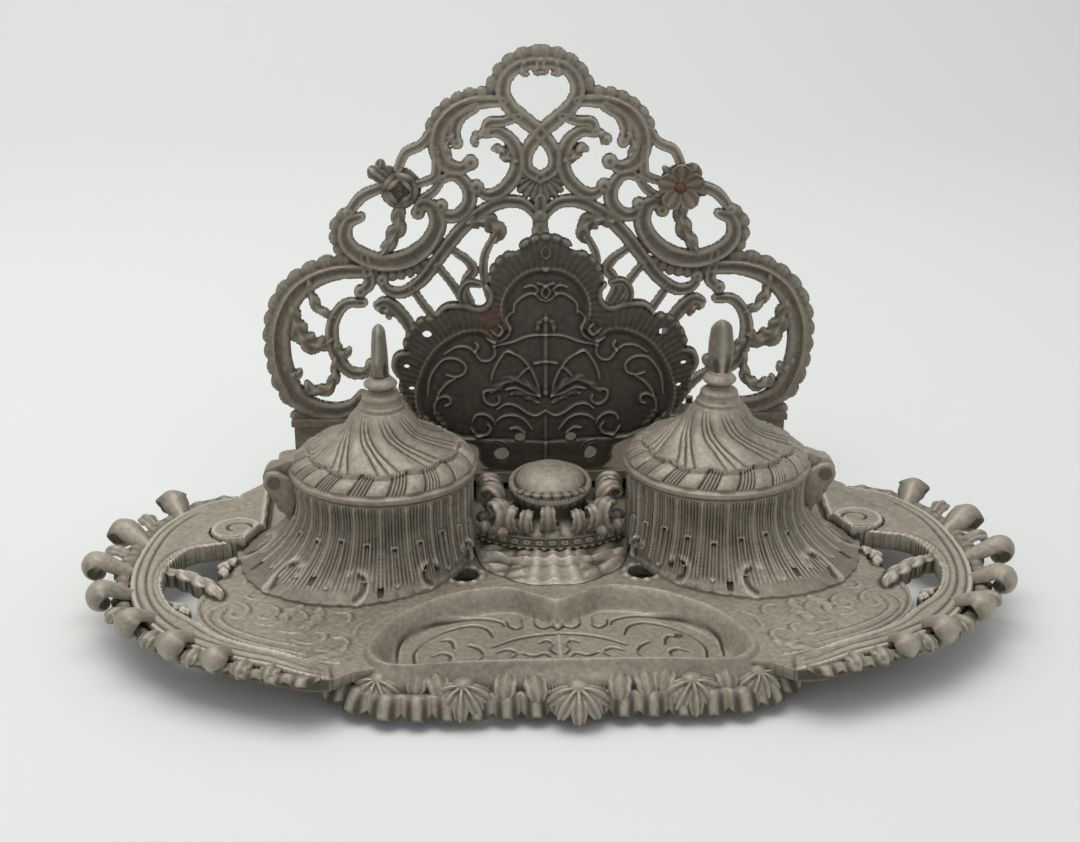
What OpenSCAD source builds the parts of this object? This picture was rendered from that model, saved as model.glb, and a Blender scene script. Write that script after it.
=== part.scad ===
// Desk inkstand in cast iron: a winged tray with a pen dish, two ink wells with hinged lids,
// an ornamental centre piece and a letter rack of two cast plates.
// Origin on the table under the middle of the tray, +X to the right, +Y to the back.

/* [Tray] */
// Width of the tray over the bands of its two wings
tray_w = 288; // [280:1:300]
// Height of the tray's upper face over the table
tray_top = 15; // [13:0.5:20]
// Thickness of the tray
tray_t = 3.5; // [3:0.1:4.5]
// Distance from the middle to the rear edge of the tray
tray_rear = 100; // [99:0.5:106]
// Distance from the middle to the front edge of the pen dish
dish_front = 80; // [76:0.5:84]
// Height of the pen dish's rim over the tray
dish_rim_h = 2; // [1:0.1:3]
// Depth of the pen dish's floor below the tray's upper face
dish_depth = 5.5; // [4:0.1:6.5]
// Thickness of the floor of the pen dish
dish_floor_t = 2.5; // [2:0.1:3.5]
// Radius of a foot
foot_r = 5; // [4:0.1:7]
// Radius of the knob at the end of a border leaf
leaf_r = 5.5; // [4:0.1:6.5]

/* [Ink wells] */
// Distance from the middle to the axis of each well
well_x = 58.3; // [57:0.1:62]
// Distance of the wells behind the middle
well_y = 8.5; // [6:0.1:9.5]
// Height of a well housing over the tray
well_h = 29.4; // [28:0.1:32]
// Reach of the housing's foot towards the outer front
foot_reach = 52; // [48:0.1:54]
// Reach of the housing's foot towards the inner rear
foot_back = 31; // [30.5:0.1:33]
// Radius of the housing's neck
well_neck_r = 30.4; // [29.8:0.1:31]
// Thickness of the housing's wall
well_wall = 2.6; // [2:0.1:3]
// Number of cast ribs round a housing
rib_count = 24; // [12:1:32]
// Height of a rib over the housing's wall
rib_h = 1; // [0.5:0.1:1.5]
// Outer radius of the glass below its flange
glass_r = 24.5; // [20:0.1:25.5]
// Wall thickness of the glass
glass_wall = 2.5; // [2:0.1:4]
// Depth of the glass below its flange
glass_depth = 26; // [20:0.5:26.5]
// Width of the flange that the glass hangs by
glass_flange = 3.2; // [2.6:0.1:4]
// Thickness of the glass's flange
flange_t = 2.4; // [1.6:0.1:3]
// Clearance round the glass in its housing
glass_gap = 0.4; // [0.3:0.05:0.6]

/* [Lids] */
// Radius of a lid's rim
lid_r = 33; // [32.4:0.1:34]
// Height of the lid's dome from its rim to the finial's seat
lid_h = 26.4; // [24:0.1:28]
// Thickness of a lid's wall
lid_wall = 2; // [1.6:0.1:2.4]
// Gap between a closed lid and its housing
lid_gap = 0.3; // [0.2:0.05:0.6]
// Number of gadroons round a lid
gadroon_count = 20; // [12:1:26]
// Opening angle of a lid
lid_open = 100; // [60:5:110]

/* [Hinges] */
// Distance from a well's axis to its hinge pin
hinge_out = 37.5; // [37.2:0.1:39]
// Depth of the pin below the lid's rim plane
hinge_down = 1.7; // [1.4:0.1:2.4]
// Radius of the hinge pin
pin_r = 1.5; // [1.2:0.05:1.8]
// Radial running clearance of the pin
pin_play = 0.06; // [0.03:0.01:0.1]
// Radius of a hinge ear
ear_r = 4.5; // [4:0.1:4.8]
// Thickness of a hinge ear
ear_t = 3; // [2.4:0.1:4]
// Width of the lid's knuckle between the ears
knuckle_w = 6.4; // [5:0.1:8]
// Side clearance between the knuckle and each ear
ear_gap = 0.3; // [0.2:0.05:0.5]

/* [Finials] */
// Height of a finial over its seat
finial_h = 26.8; // [24:0.1:32]
// Width of the flame blade
blade_w = 9; // [7:0.1:10]
// Thickness of the flame blade
blade_t = 5.8; // [4:0.1:7]
// Radius of the finial's collar
collar_r = 6.5; // [5.6:0.1:6.7]
// Radius of the finial's threaded stud
stud_r = 2; // [1.6:0.05:2.4]

/* [Centre piece] */
// Radius of the bow front of the pedestal
bow_r = 37.4; // [34:0.1:39]
// How far the bow front stands before the wells' axes
bow_front = 15.7; // [12:0.1:17]
// Height of the pedestal's panelled ring over the tray
bow_h = 9; // [8.5:0.1:10]
// Height of the pierced waist over the ring
waist_h = 12; // [8:0.1:14]
// Radius of the waist
waist_r = 15; // [13:0.1:16]
// Radius of the domed boss
boss_r = 14.5; // [12:0.1:16]
// Height of the boss's dome
boss_dome_h = 7; // [5:0.1:9]
// Number of panels across the bow front
panel_count = 13; // [9:1:15]

/* [Letter rack] */
// Distance of the front plate's face behind the middle
front_plate_y = 46.5; // [46:0.1:48]
// Clear gap between the two plates
rack_gap = 41; // [36:0.5:45]
// Thickness of the front plate
front_plate_t = 3; // [2.5:0.1:4]
// Thickness of the back plate
back_plate_t = 3.5; // [2.8:0.1:4.5]
// Height of the rack's floor over the tray
rack_floor_h = 12; // [11:0.1:13]
// Thickness of the rack's floor
rack_floor_t = 3; // [2.5:0.1:4]
// Height of the rear riser over the rack's floor
riser_h = 4.6; // [3:0.1:8]
// Width of the rear riser
riser_w = 197; // [180:1:200]
// Width of the back plate
back_plate_w = 215; // [205:1:225]
// Height of the back plate
back_plate_h = 146; // [130:1:160]
// Width of the front plate
front_plate_w = 106.5; // [100:0.5:112]
// Height of the front plate
front_plate_h = 89; // [80:1:100]

/* [Fixings] */
// Radius of the fixing screws
screw_r = 1.5; // [1.2:0.05:1.8]
// Radius of the screw heads
screw_head_r = 3; // [2.6:0.1:3.6]
// Height of the screw heads
screw_head_h = 2; // [1.5:0.1:2.6]
// Radial clearance of a screw in its hole
screw_gap = 0.1; // [0.05:0.01:0.2]

/* [Hidden] */
$fn = 48;
eps = 0.01;
iron = [0.5, 0.48, 0.45];
dark_iron = [0.36, 0.34, 0.31];
glass_tint = [0.75, 0.82, 0.82, 0.5];

// Heights and places that follow from the sizes
half_w = tray_w / 2;
well_top = tray_top + well_h;
lid_z = well_top + lid_gap;
hinge_z = lid_z - hinge_down;
finial_z = lid_z + lid_h;
rack_front = front_plate_y - 2;
rack_floor = tray_top + rack_floor_h;
back_plate_y = front_plate_y + front_plate_t + rack_gap;
riser_front = back_plate_y - 2;
riser_top = rack_floor + riser_h;
bow_y = well_y - bow_front + bow_r;
bow_base = tray_top + 4;
bow_top = tray_top + bow_h;
waist_y = well_y + 3;
boss_tilt = 8;
dish_mid = -56;
band_h = 3.5;
border_z = 8;
eye_r = 1.6;
flare_steps = 7;
foot_angle = -35;
slot = screw_r + screw_gap;
lug = [10, 6, 8];
back_lug_x = 60;
front_lug_x = 12;
leg_x = 66;
leg = [7, 30];

// Points along a smooth curve through the given points, n steps to a span
function spline_point(a, b, c, d, t) =
    0.5 * (2 * b + (c - a) * t + (2 * a - 5 * b + 4 * c - d) * t * t
    + (3 * b - a - 3 * c + d) * t * t * t);
function open_curve(p, n) =
    let (m = len(p))
    [for (i = [0 : m - 2], k = [0 : n - 1])
        spline_point(p[max(i - 1, 0)], p[i], p[i + 1], p[min(i + 2, m - 1)], k / n),
    p[m - 1]];
function closed_curve(p, n) =
    let (m = len(p))
    [for (i = [0 : m - 1], k = [0 : n - 1])
        spline_point(p[(i + m - 1) % m], p[i], p[(i + 1) % m], p[(i + 2) % m], k / n)];
function mirrored(p) = [for (i = [len(p) - 1 : -1 : 0]) [-p[i][0], p[i][1]]];
function both_halves(p) = concat(p, mirrored(p));
function unit(v) = v / max(norm(v), eps);
function side_step(c, i) =
    let (d = unit(c[min(i + 1, len(c) - 1)] - c[max(i - 1, 0)]))
    [-d[1], d[0]];
// Width along a scroll, full in the middle and tapering to its ends
function scroll_width(t, w0, w1) = w0 + (w1 - w0) * sin(180 * min(max(t, 0), 1));

// A scroll bar of changing width along a smooth line, with a round eye at its end
module scroll(p, w0, w1, eye = 0, n = 2) {
    c = open_curve(p, n);
    m = len(c) - 1;
    left = [for (i = [0 : m]) c[i] + side_step(c, i) * scroll_width(i / m, w0, w1) / 2];
    right = [for (i = [m : -1 : 0]) c[i] - side_step(c, i) * scroll_width(i / m, w0, w1) / 2];
    polygon(concat(left, right));
    translate(c[0]) circle(d = w0, $fn = 11);
    translate(c[m]) circle(r = max(eye, w0 / 2), $fn = 11);
}

// Solid through closed loops of points around one middle point, each loop at its own height
module loft(rings, mid) {
    n = len(rings[0]);
    last = len(rings) - 1;
    points = concat([for (r = rings) each r], [[mid[0], mid[1], rings[0][0][2]],
        [mid[0], mid[1], rings[last][0][2]]]);
    low = (last + 1) * n;
    faces = concat(
        [for (j = [0 : last - 1], i = [0 : n - 1]) [j * n + i, (j + 1) * n + i, j * n + (i + 1) % n]],
        [for (j = [0 : last - 1], i = [0 : n - 1])
            [(j + 1) * n + i, (j + 1) * n + (i + 1) % n, j * n + (i + 1) % n]],
        [for (i = [0 : n - 1]) [low, i, (i + 1) % n]],
        [for (i = [0 : n - 1]) [low + 1, last * n + (i + 1) % n, last * n + i]]);
    polyhedron(points, faces, convexity = 6);
}

// Outline of the pen dish's rim, with two lobes at the rear
dish_half = [[9, -33], [19, -28.5], [35, -33], [50, -45], [58, -59], [60, -71], [52, -dish_front + 0.5],
    [31, -dish_front + 1.6], [10, -dish_front + 2.3]];
dish_loop = concat([[0, -38]], dish_half, mirrored(dish_half));
dish_rim = closed_curve([for (i = [len(dish_loop) - 1 : -1 : 0]) dish_loop[i]], 3);
function dish_ring(off, z) = [for (p = dish_rim)
    let (v = p - [0, dish_mid])
    [v[0] * (1 + off / norm(v)), dish_mid + v[1] * (1 + off / norm(v)), z]];

module dish_body() {
    z0 = tray_top - dish_depth - dish_floor_t;
    loft([dish_ring(7.5, z0), dish_ring(7.5, border_z), dish_ring(3.5, tray_top - 1),
        dish_ring(0.8, tray_top + dish_rim_h)], [0, dish_mid]);
}

module dish_hollow() {
    loft([dish_ring(-7, tray_top - dish_depth), dish_ring(-4, tray_top - dish_depth / 3),
        dish_ring(-0.8, tray_top + dish_rim_h), dish_ring(-0.8, tray_top + dish_rim_h + 1)], [0, dish_mid]);
}

// Right half of the tray's outline, from the rear to the front
tray_half = [[30, tray_rear], [70, tray_rear], [riser_w / 2 + 3, tray_rear], [riser_w / 2 + 6, tray_rear - 14],
    [half_w - 38, 62], [half_w - 29, 48], [half_w - 15, 40], [half_w - 4, 22], [half_w, 0],
    [half_w - 0.5, -22], [half_w - 6, -42], [half_w - 17, -59], [half_w - 32, -71], [half_w - 51, -80],
    [half_w - 70, -86], [61, -dish_front + 1], [30, -dish_front + 4]];
// Inner edge of the wing's band, and the edge of the panel inside it
wing_band = [[half_w - 33, 8], [half_w - 18, 3], [half_w - 12, -9], [half_w - 12, -24], [half_w - 17, -38],
    [half_w - 27, -49]];
wing_panel = [[half_w - 26, -40], [half_w - 25, -31], [half_w - 28, -20], [half_w - 33, -12],
    [half_w - 35, -2]];
// Line of the strut of leaves across the wing's opening
wing_strut = [[half_w - 10, -11], [half_w - 18, -13], [half_w - 24, -18], [half_w - 29, -24]];

module wing_opening() {
    difference() {
        polygon(concat(open_curve(wing_band, 4), open_curve(wing_panel, 3)));
        scroll(wing_strut, 3, 5);
    }
}

// Upper surface of the wing, raised along its outer band
module wing_band_plan() {
    inner = [[half_w - 66, -74], [half_w - 50, -68], [half_w - 37, -60], [half_w - 28, -50],
        [half_w - 18, -39], [half_w - 12.6, -24], [half_w - 12.6, -9], [half_w - 18, 2], [half_w - 33, 7],
        [half_w - 42, 22]];
    offset(delta = -0.7) intersection() {
        polygon(open_curve(tray_half, 3));
        polygon(concat([[half_w - 40, 62], [half_w + 9, 62], [half_w + 9, -90], [half_w - 72, -90]],
            open_curve(inner, 3)));
    }
}

// Radius of the round end of the wing's band
volute_r = 9.5;

// A curled border leaf: a round lobe on a neck that springs from the band
module border_leaf(p, turn) {
    translate([p[0], p[1], tray_top + band_h / 2]) rotate([0, 0, turn]) difference() {
        union() {
            sphere(r = leaf_r, $fn = 24);
            rotate([0, -90, 0]) cylinder(h = 15, r1 = leaf_r * 0.8, r2 = leaf_r * 0.55, $fn = 24);
        }
        translate([-leaf_r * 0.3, 0, -leaf_r * 2]) cylinder(r = eye_r, h = leaf_r * 4, $fn = 24);
    }
}

// A drooping palmette of the front border: a half disc with five lobes
module palmette(x, y, r, turn) {
    translate([x, y, border_z]) rotate([0, 0, turn]) rotate([28, 0, 0]) {
        cylinder(r = r, h = 3.6, center = true);
        for (a = [-150 : 30 : -30])
            rotate([0, 0, a]) translate([r, 0, 0]) cylinder(r = r * 0.3, h = 4.6, center = true, $fn = 24);
    }
}

// Space that a well housing takes up, with a clearance round it
function foot_r_at(a) = foot_back + (foot_reach - foot_back) * pow((1 + cos(a - foot_angle)) / 2, 2);
function flare(a, t) = well_neck_r + (foot_r_at(a) - well_neck_r) * pow(1 - t, 2.4);
flare_z0 = 1;
flare_h = well_h - 6 - flare_z0;
function flare_ring(off, t, n, ribs = 0) = [for (i = [0 : n - 1])
    let (a = i * 360 / n,
        swell = ribs * max(0, cos(a * rib_count)) * sin(180 * min(1, max(0, t))),
        r = flare(a, t) + off + swell)
    [r * cos(a), r * sin(a), flare_z0 + t * flare_h]];

module housing_space(s, gap) {
    steps = [for (k = [0 : flare_steps]) k / flare_steps];
    translate([s * well_x, well_y, tray_top]) mirror([s < 0 ? 1 : 0, 0, 0]) {
        loft(concat([[for (p = flare_ring(gap, 0, 48)) [p[0], p[1], -1]]],
            [for (t = steps) flare_ring(gap + rib_h, t, 48)]), [0, 0]);
        translate([0, 0, flare_z0 + flare_h - eps])
            cylinder(r = well_neck_r + gap + rib_h, h = well_h - flare_h);
    }
}

// Leaf-covered slope in front of the pedestal
module apron() {
    translate([0, bow_y, tray_top - eps]) intersection() {
        rotate_extrude($fn = 96) polygon([[0, 0], [bow_r + 19, 0], [bow_r + 13, 0.8], [bow_r + 6, 2.2],
            [bow_r + 1, 4], [0, 4]]);
        translate([-27, -bow_r - 20, -1]) cube([54, bow_r + 20 + rack_front - bow_y, 8]);
    }
}

module base_tray() color(iron) difference() {
    union() {
        difference() {
            union() {
                translate([0, 0, tray_top - tray_t]) linear_extrude(tray_t)
                    polygon(concat(open_curve(tray_half, 3), mirrored(open_curve(tray_half, 3))));
                for (s = [0, 1]) mirror([s, 0, 0]) {
                    difference() {
                        union() {
                            translate([0, 0, tray_top - 1]) linear_extrude(band_h + 1) wing_band_plan();
                            translate([half_w - 32, 17, tray_top - 1]) cylinder(r = volute_r, h = band_h + 2);
                        }
                        translate([0, 0, 1]) housing_space(1, glass_gap);
                    }
                    for (leaf = [[-5, 42.5, 62], [8.5, 16, 33], [13, -11, 0], [7, -34, -28], [-6, -53, -46],
                            [-22, -68, -58], [-36.5, -77, -66]])
                        border_leaf([half_w + leaf[0], leaf[1]], leaf[2]);
                }
                dish_body();
                for (leaf = [[-57, 0.5, 7, -22], [-31, 5, 8.5, -8], [4, 7.55, 9, 0], [39, 4.5, 8.5, 8],
                        [60, 0.5, 7, 24]])
                    palmette(leaf[0], -dish_front - leaf[1], leaf[2], leaf[3]);
                for (x = [-1, 1], y = [-52, 62])
                    translate([x * 88, y, 0]) cylinder(r1 = foot_r, r2 = foot_r * 1.5, h = tray_top - 1);
            }
            dish_hollow();
            for (s = [0, 1]) mirror([s, 0, 0]) {
                translate([0, 0, tray_top - tray_t - 1]) linear_extrude(tray_t + band_h + 2) wing_opening();
                translate([30.5, -15.5, tray_top - tray_t - 1]) cylinder(r = 5, h = tray_t + 2);
            }
        }
        difference() {
            apron();
            housing_space(1, glass_gap);
            housing_space(-1, glass_gap);
        }
    }
    fixing_holes();
}

// Places of the fixings that come up through the tray
housing_screw_angles = [-93, -33, 23];
rack_screw_points = [for (x = [-leg_x, leg_x], y = [0.2, 0.8])
    [x, rack_front + 14 + y * leg[1]]];
pedestal_screw_point = [0, bow_y - 12];
function screw_ring_r(a) = flare(a, 0.13) - well_wall - 1.6;
module at_housing_screws(s) {
    for (a = housing_screw_angles)
        translate([s * (well_x + screw_ring_r(a) * cos(a)), well_y + screw_ring_r(a) * sin(a), 0]) children();
}
module fixing_holes() {
    for (s = [-1, 1]) at_housing_screws(s)
        translate([0, 0, tray_top - tray_t - 1]) cylinder(r = slot, h = tray_t + 2);
    for (p = rack_screw_points)
        translate([p[0], p[1], tray_top - tray_t - 1]) cylinder(r = slot, h = tray_t + 2);
    for (x = [-back_lug_x, back_lug_x])
        translate([x, back_plate_y + back_plate_t + lug[1] / 2, tray_top - tray_t - 1])
            cylinder(r = slot, h = tray_t + 2);
    translate([pedestal_screw_point[0], pedestal_screw_point[1], tray_top - tray_t - 1])
        cylinder(r = slot, h = tray_t + 6);
}

// A screw standing on its head, with the shank upwards
module screw_up(z, length) {
    translate([0, 0, z - screw_head_h]) cylinder(r = screw_head_r, h = screw_head_h, $fn = 32);
    translate([0, 0, z - eps]) cylinder(r = screw_r, h = length, $fn = 32);
}

// Closed shell through loops of points, the last loop joined to the first
module loft_shell(rings) {
    n = len(rings[0]);
    m = len(rings);
    faces = [for (j = [0 : m - 1], i = [0 : n - 1], half = [0, 1])
        let (a = j * n + i, b = ((j + 1) % m) * n + i, c = j * n + (i + 1) % n,
            d = ((j + 1) % m) * n + (i + 1) % n)
        half == 0 ? [a, b, c] : [b, d, c]];
    polyhedron([for (r = rings) each r], faces, convexity = 8);
}

// Section of the housing's neck with the seat of the glass
module neck_section() {
    z6 = well_h - 6;
    seat_r = glass_r + glass_flange + glass_gap;
    hole_r = glass_r + glass_gap;
    polygon([[well_neck_r - 2.2, z6 - 0.8], [well_neck_r - 0.8, z6 - 0.8], [well_neck_r - 0.8, z6],
        [well_neck_r + 0.3, z6], [well_neck_r + 0.3, well_h - 3], [well_neck_r + 0.8, well_h - 2.4],
        [well_neck_r + 0.8, well_h],
        [seat_r, well_h], [seat_r, well_h - flange_t], [hole_r, well_h - flange_t],
        [hole_r, well_h - flange_t - 1.6]]);
}

// Outline of a hinge ear, from the pin down to the housing's wall
module ear_outline() {
    hz = hinge_z - tray_top;
    translate([hinge_out, hz]) circle(r = ear_r);
    polygon([[well_neck_r - 1.6, hz + 0.5], [hinge_out, hz + 0.5], [hinge_out + ear_r, hz],
        [hinge_out + ear_r - 0.4, hz - 8], [well_neck_r + 1.6, hz - 15], [well_neck_r + 0.9, hz - 14.5],
        [well_neck_r - 1.6, hz - 6]]);
}

module at_well(s, z) {
    translate([s * well_x, well_y, z]) mirror([s < 0 ? 1 : 0, 0, 0]) children();
}

module pin_bore(z, r) {
    translate([hinge_out, 0, z]) rotate([90, 0, 0]) cylinder(r = r, h = 40, center = true);
}

module well_housing(s) color(iron) at_well(s, tray_top) difference() {
    union() {
        loft_shell(concat([[for (p = flare_ring(0, 0, 72)) [p[0], p[1], 0]]],
            [for (k = [0 : flare_steps]) flare_ring(0, k / flare_steps, 72, rib_h)],
            [for (k = [3 : -1 : 0]) flare_ring(-well_wall, k / 3, 72)],
            [[for (p = flare_ring(-well_wall, 0, 72)) [p[0], p[1], 0]]]));
        rotate_extrude($fn = 96) neck_section();
        for (side = [-1, 1])
            translate([0, side * (knuckle_w / 2 + ear_gap + ear_t / 2) + ear_t / 2, 0])
                rotate([90, 0, 0]) linear_extrude(ear_t) ear_outline();
        for (a = housing_screw_angles)
            rotate([0, 0, a]) translate([screw_ring_r(a), 0, 0]) cylinder(r = 3.2, h = 4);
    }
    pin_bore(hinge_z - tray_top, pin_r + pin_play);
    for (a = housing_screw_angles)
        rotate([0, 0, a]) translate([screw_ring_r(a), 0, -1]) cylinder(r = slot, h = 4.2);
}

module ink_glass(s) color(glass_tint) translate([s * well_x, well_y, well_top - flange_t])
    rotate_extrude($fn = 96) polygon([[0, -glass_depth], [glass_r - 1.5, -glass_depth],
        [glass_r, 1.5 - glass_depth], [glass_r, 0], [glass_r + glass_flange, 0],
        [glass_r + glass_flange, flange_t], [glass_r - glass_wall, flange_t],
        [glass_r - glass_wall, 3.5 - glass_depth], [glass_r - glass_wall - 1, 2.5 - glass_depth],
        [0, 2.5 - glass_depth]]);

// Section of a lid's outside: a moulded rim, a sloping band and a hollow cone up to the finial's seat
lid_band_h = 7.6;
module lid_outside() {
    dome = lid_h - lid_band_h;
    polygon([[0, 0], [lid_r - 0.8, 0], [lid_r, 0.8], [lid_r, 1.8], [lid_r - 1.3, 2.7], [lid_r - 1.8, 3.6],
        [lid_r - 2.8, 5], [lid_r - 4.2, 6.4], [lid_r - 6, lid_band_h],
        [lid_r - 9, lid_band_h + dome * 0.09], [lid_r - 12.5, lid_band_h + dome * 0.18],
        [lid_r - 16, lid_band_h + dome * 0.28], [lid_r - 19, lid_band_h + dome * 0.39],
        [lid_r - 20.8, lid_band_h + dome * 0.505], [lid_r - 22, lid_band_h + dome * 0.62],
        [lid_r - 23.4, lid_band_h + dome * 0.75], [lid_r - 24.9, lid_band_h + dome * 0.86],
        [lid_r - 25.8, lid_band_h + dome * 0.94], [lid_r - 26.1, lid_h], [0, lid_h]]);
}

// Hollow of a lid, one wall inside its outer section, up to the seat of the nut
lid_top_t = 5.6;
module lid_inside() {
    dome = lid_h - lid_band_h;
    w = lid_wall;
    polygon([[0, -1], [lid_r - 1.6 - w, -1], [lid_r - 1.6 - w, 2.6], [lid_r - 2.6 - w, 3.8],
        [lid_r - 3.8 - w, 4.9], [lid_r - 5.4 - w, 5.9], [lid_r - 8 - w, lid_band_h - 0.4],
        [lid_r - 11.4 - w, lid_band_h + dome * 0.07],
        [lid_r - 15.2 - w, lid_band_h + dome * 0.18], [lid_r - 18.4 - w, lid_band_h + dome * 0.31],
        [lid_r - 20.6 - w, lid_band_h + dome * 0.45], [lid_r - 22 - w, lid_band_h + dome * 0.585],
        [lid_r - 23.1 - w, lid_h - lid_top_t], [0, lid_h - lid_top_t]]);
}

module lid(s) color(iron) at_well(s, lid_z) difference() {
    union() {
        difference() {
            union() {
                rotate_extrude($fn = 96) lid_outside();
                for (i = [0 : gadroon_count - 1]) rotate([0, 0, (i + 0.5) * 360 / gadroon_count])
                    translate([lid_r - 6.7, 0, lid_band_h - 4.1])
                        sphere(r = PI * (lid_r - 5.4) / gadroon_count, $fn = 32);
            }
            for (side = [-1, 1])
                translate([hinge_out, side * (knuckle_w / 2 + ear_gap + ear_t / 2), -hinge_down])
                    rotate([90, 0, 0]) cylinder(r = ear_r + 0.4, h = ear_t + 2 * ear_gap, center = true);
        }
        translate([0, knuckle_w / 2, 0]) rotate([90, 0, 0]) linear_extrude(knuckle_w) hull() {
            translate([hinge_out, -hinge_down]) circle(r = ear_r - 0.1);
            translate([lid_r - 2.2, 4]) circle(r = 1.3);
        }
    }
    rotate_extrude($fn = 96) lid_inside();
    translate([0, 0, lid_h - lid_top_t - 1]) cylinder(r = stud_r + screw_gap, h = lid_top_t + 2);
    pin_bore(-hinge_down, pin_r + pin_play);
}

// Height of the nut under the lid's top, and length of the stud that reaches through it
nut_h = 3;
stud_l = lid_top_t + nut_h + 0.5;

// Finial: a turned collar with a flat-sided flame on it and a stud below
module finial(s, turn) color(iron) translate([s * well_x, well_y, finial_z]) {
    rotate_extrude($fn = 64) polygon([[0, 0], [collar_r, 0], [collar_r - 0.1, 1.2], [collar_r - 1.3, 2.2],
        [collar_r - 2.5, 3], [collar_r - 2.6, 3.8], [collar_r - 1.1, 4.8], [collar_r - 0.8, 5.9],
        [collar_r - 1.9, 7], [collar_r - 2.7, 8], [0, 8]]);
    rotate([0, 0, turn]) intersection() {
        rotate_extrude($fn = 64) polygon([[0, 7.6], [blade_w * 0.4, 7.6], [blade_w * 0.47, 10.5],
            [blade_w / 2, 14], [blade_w * 0.47, 18.5], [blade_w * 0.41, 22], [blade_w * 0.33, 24.6],
            [blade_w * 0.2, finial_h - 0.6], [blade_w * 0.08, finial_h], [0, finial_h]]);
        translate([-blade_w, -blade_t / 2, 7]) cube([blade_w * 2, blade_t, finial_h]);
    }
    translate([0, 0, -stud_l]) cylinder(r = stud_r, h = stud_l + 0.5);
}

module finial_nut(s) color(dark_iron) translate([s * well_x, well_y, finial_z - lid_top_t - nut_h])
    difference() {
        cylinder(r = stud_r * 2, h = nut_h, $fn = 6);
        translate([0, 0, -1]) cylinder(r = stud_r + screw_gap / 2, h = nut_h + 2);
    }

module hinge_pin(s) color(dark_iron) at_well(s, hinge_z) translate([hinge_out, 0, 0]) rotate([90, 0, 0]) {
    half = knuckle_w / 2 + ear_gap + ear_t;
    cylinder(r = pin_r, h = half * 2, center = true);
    for (side = [-1, 1]) translate([0, 0, side * (half + 0.4)])
        cylinder(r = pin_r * 1.5, h = 0.8, center = true);
}

module centre_pedestal() color(iron) difference() {
    union() {
        translate([0, bow_y, 0]) intersection() {
            union() {
                translate([0, 0, bow_base]) cylinder(r = bow_r - 1, h = bow_top - bow_base, $fn = 96);
                translate([0, 0, bow_base + 1]) cylinder(r = bow_r, h = 0.8, $fn = 96);
                translate([0, 0, bow_top - 1]) cylinder(r = bow_r - 0.2, h = 1, $fn = 96);
                for (i = [0 : panel_count - 1])
                    rotate([0, 0, -90 + (i - (panel_count - 1) / 2) * 7 - 2.6])
                        translate([0, 0, bow_base + 1]) rotate_extrude(angle = 5.2) square([bow_r - 0.1, 2.6]);
            }
            translate([-26.5, -bow_r - 1, bow_base]) cube([53, bow_r + 1 + rack_front - bow_y, 20]);
        }
        translate([0, waist_y, bow_top - eps]) difference() {
            rotate_extrude($fn = 64) polygon([[0, 0], [waist_r + 1, 0], [waist_r - 1, 1.5], [waist_r - 2.4, 5],
                [waist_r - 1.6, waist_h + 4], [0, waist_h + 4]]);
            translate([0, 0, -1]) cylinder(r = waist_r - 5.5, h = waist_h - 1);
            for (a = [0 : 60 : 300]) rotate([0, 0, a + 60]) translate([0, 0, 1.6]) rotate([90, 0, 90])
                linear_extrude(waist_r + 3) polygon([[-2.6, 0], [2.6, 0], [0, 4.4]]);
            translate([0, 0, waist_h]) rotate([boss_tilt, 0, 0]) translate([-30, -35, 0]) cube([60, 70, 20]);
        }
    }
    translate([pedestal_screw_point[0], pedestal_screw_point[1], bow_base - 1]) cylinder(r = slot, h = 5.5);
    housing_space(1, glass_gap);
    housing_space(-1, glass_gap);
}

module centre_boss() color(iron) translate([0, waist_y, bow_top - eps + waist_h]) rotate([boss_tilt, 0, 0])
    rotate_extrude($fn = 64) polygon(concat([[0, 0], [boss_r - 1, 0], [boss_r, 0.9],
        [boss_r - 0.2, 1.9], [boss_r - 1.6, 2.3]],
        [for (a = [15 : 15 : 90]) [(boss_r - 2.4) * cos(a), 2 + (boss_dome_h - 2) * sin(a)]]));

// Floor and riser of the letter rack
rack_plan = [[-30, rack_front], [30, rack_front], [70, rack_front + 12], [80, riser_front], [-80, riser_front],
    [-70, rack_front + 12]];
module rack_base() color(iron) difference() {
    union() {
        translate([0, 0, rack_floor - rack_floor_t]) linear_extrude(rack_floor_t) polygon(rack_plan);
        translate([-riser_w / 2 + 1, riser_front + 1, tray_top])
            cube([riser_w - 2, tray_rear - riser_front - 1, riser_top - tray_top - 1]);
        translate([-riser_w / 2, riser_front, riser_top - 2.4]) cube([riser_w, tray_rear - riser_front, 2.4]);
        translate([-80, riser_front - eps, tray_top]) cube([160, 3, rack_floor_h]);
        translate([-26, rack_front, tray_top]) cube([52, 3, rack_floor_h]);
        for (x = [-leg_x, leg_x]) translate([x - leg[0] / 2, rack_front + 14, tray_top])
            cube([leg[0], riser_front - rack_front - 13, rack_floor_h]);
    }
    for (x = [-19, 0, 19]) translate([x - 5, rack_front - 1, tray_top + 5]) cube([10, 5, 3.2]);
    for (p = rack_screw_points) translate([p[0], p[1], tray_top - 1]) cylinder(r = slot, h = rack_floor_h - 2);
    for (x = [-back_lug_x, back_lug_x])
        translate([x, back_plate_y + back_plate_t + lug[1] / 2, tray_top - 1]) cylinder(r = slot, h = 30);
    for (x = [-front_lug_x, front_lug_x])
        translate([x, front_plate_y + front_plate_t + lug[1] / 2, rack_floor - rack_floor_t - 1])
            cylinder(r = slot, h = rack_floor_t + 2);
}

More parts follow.
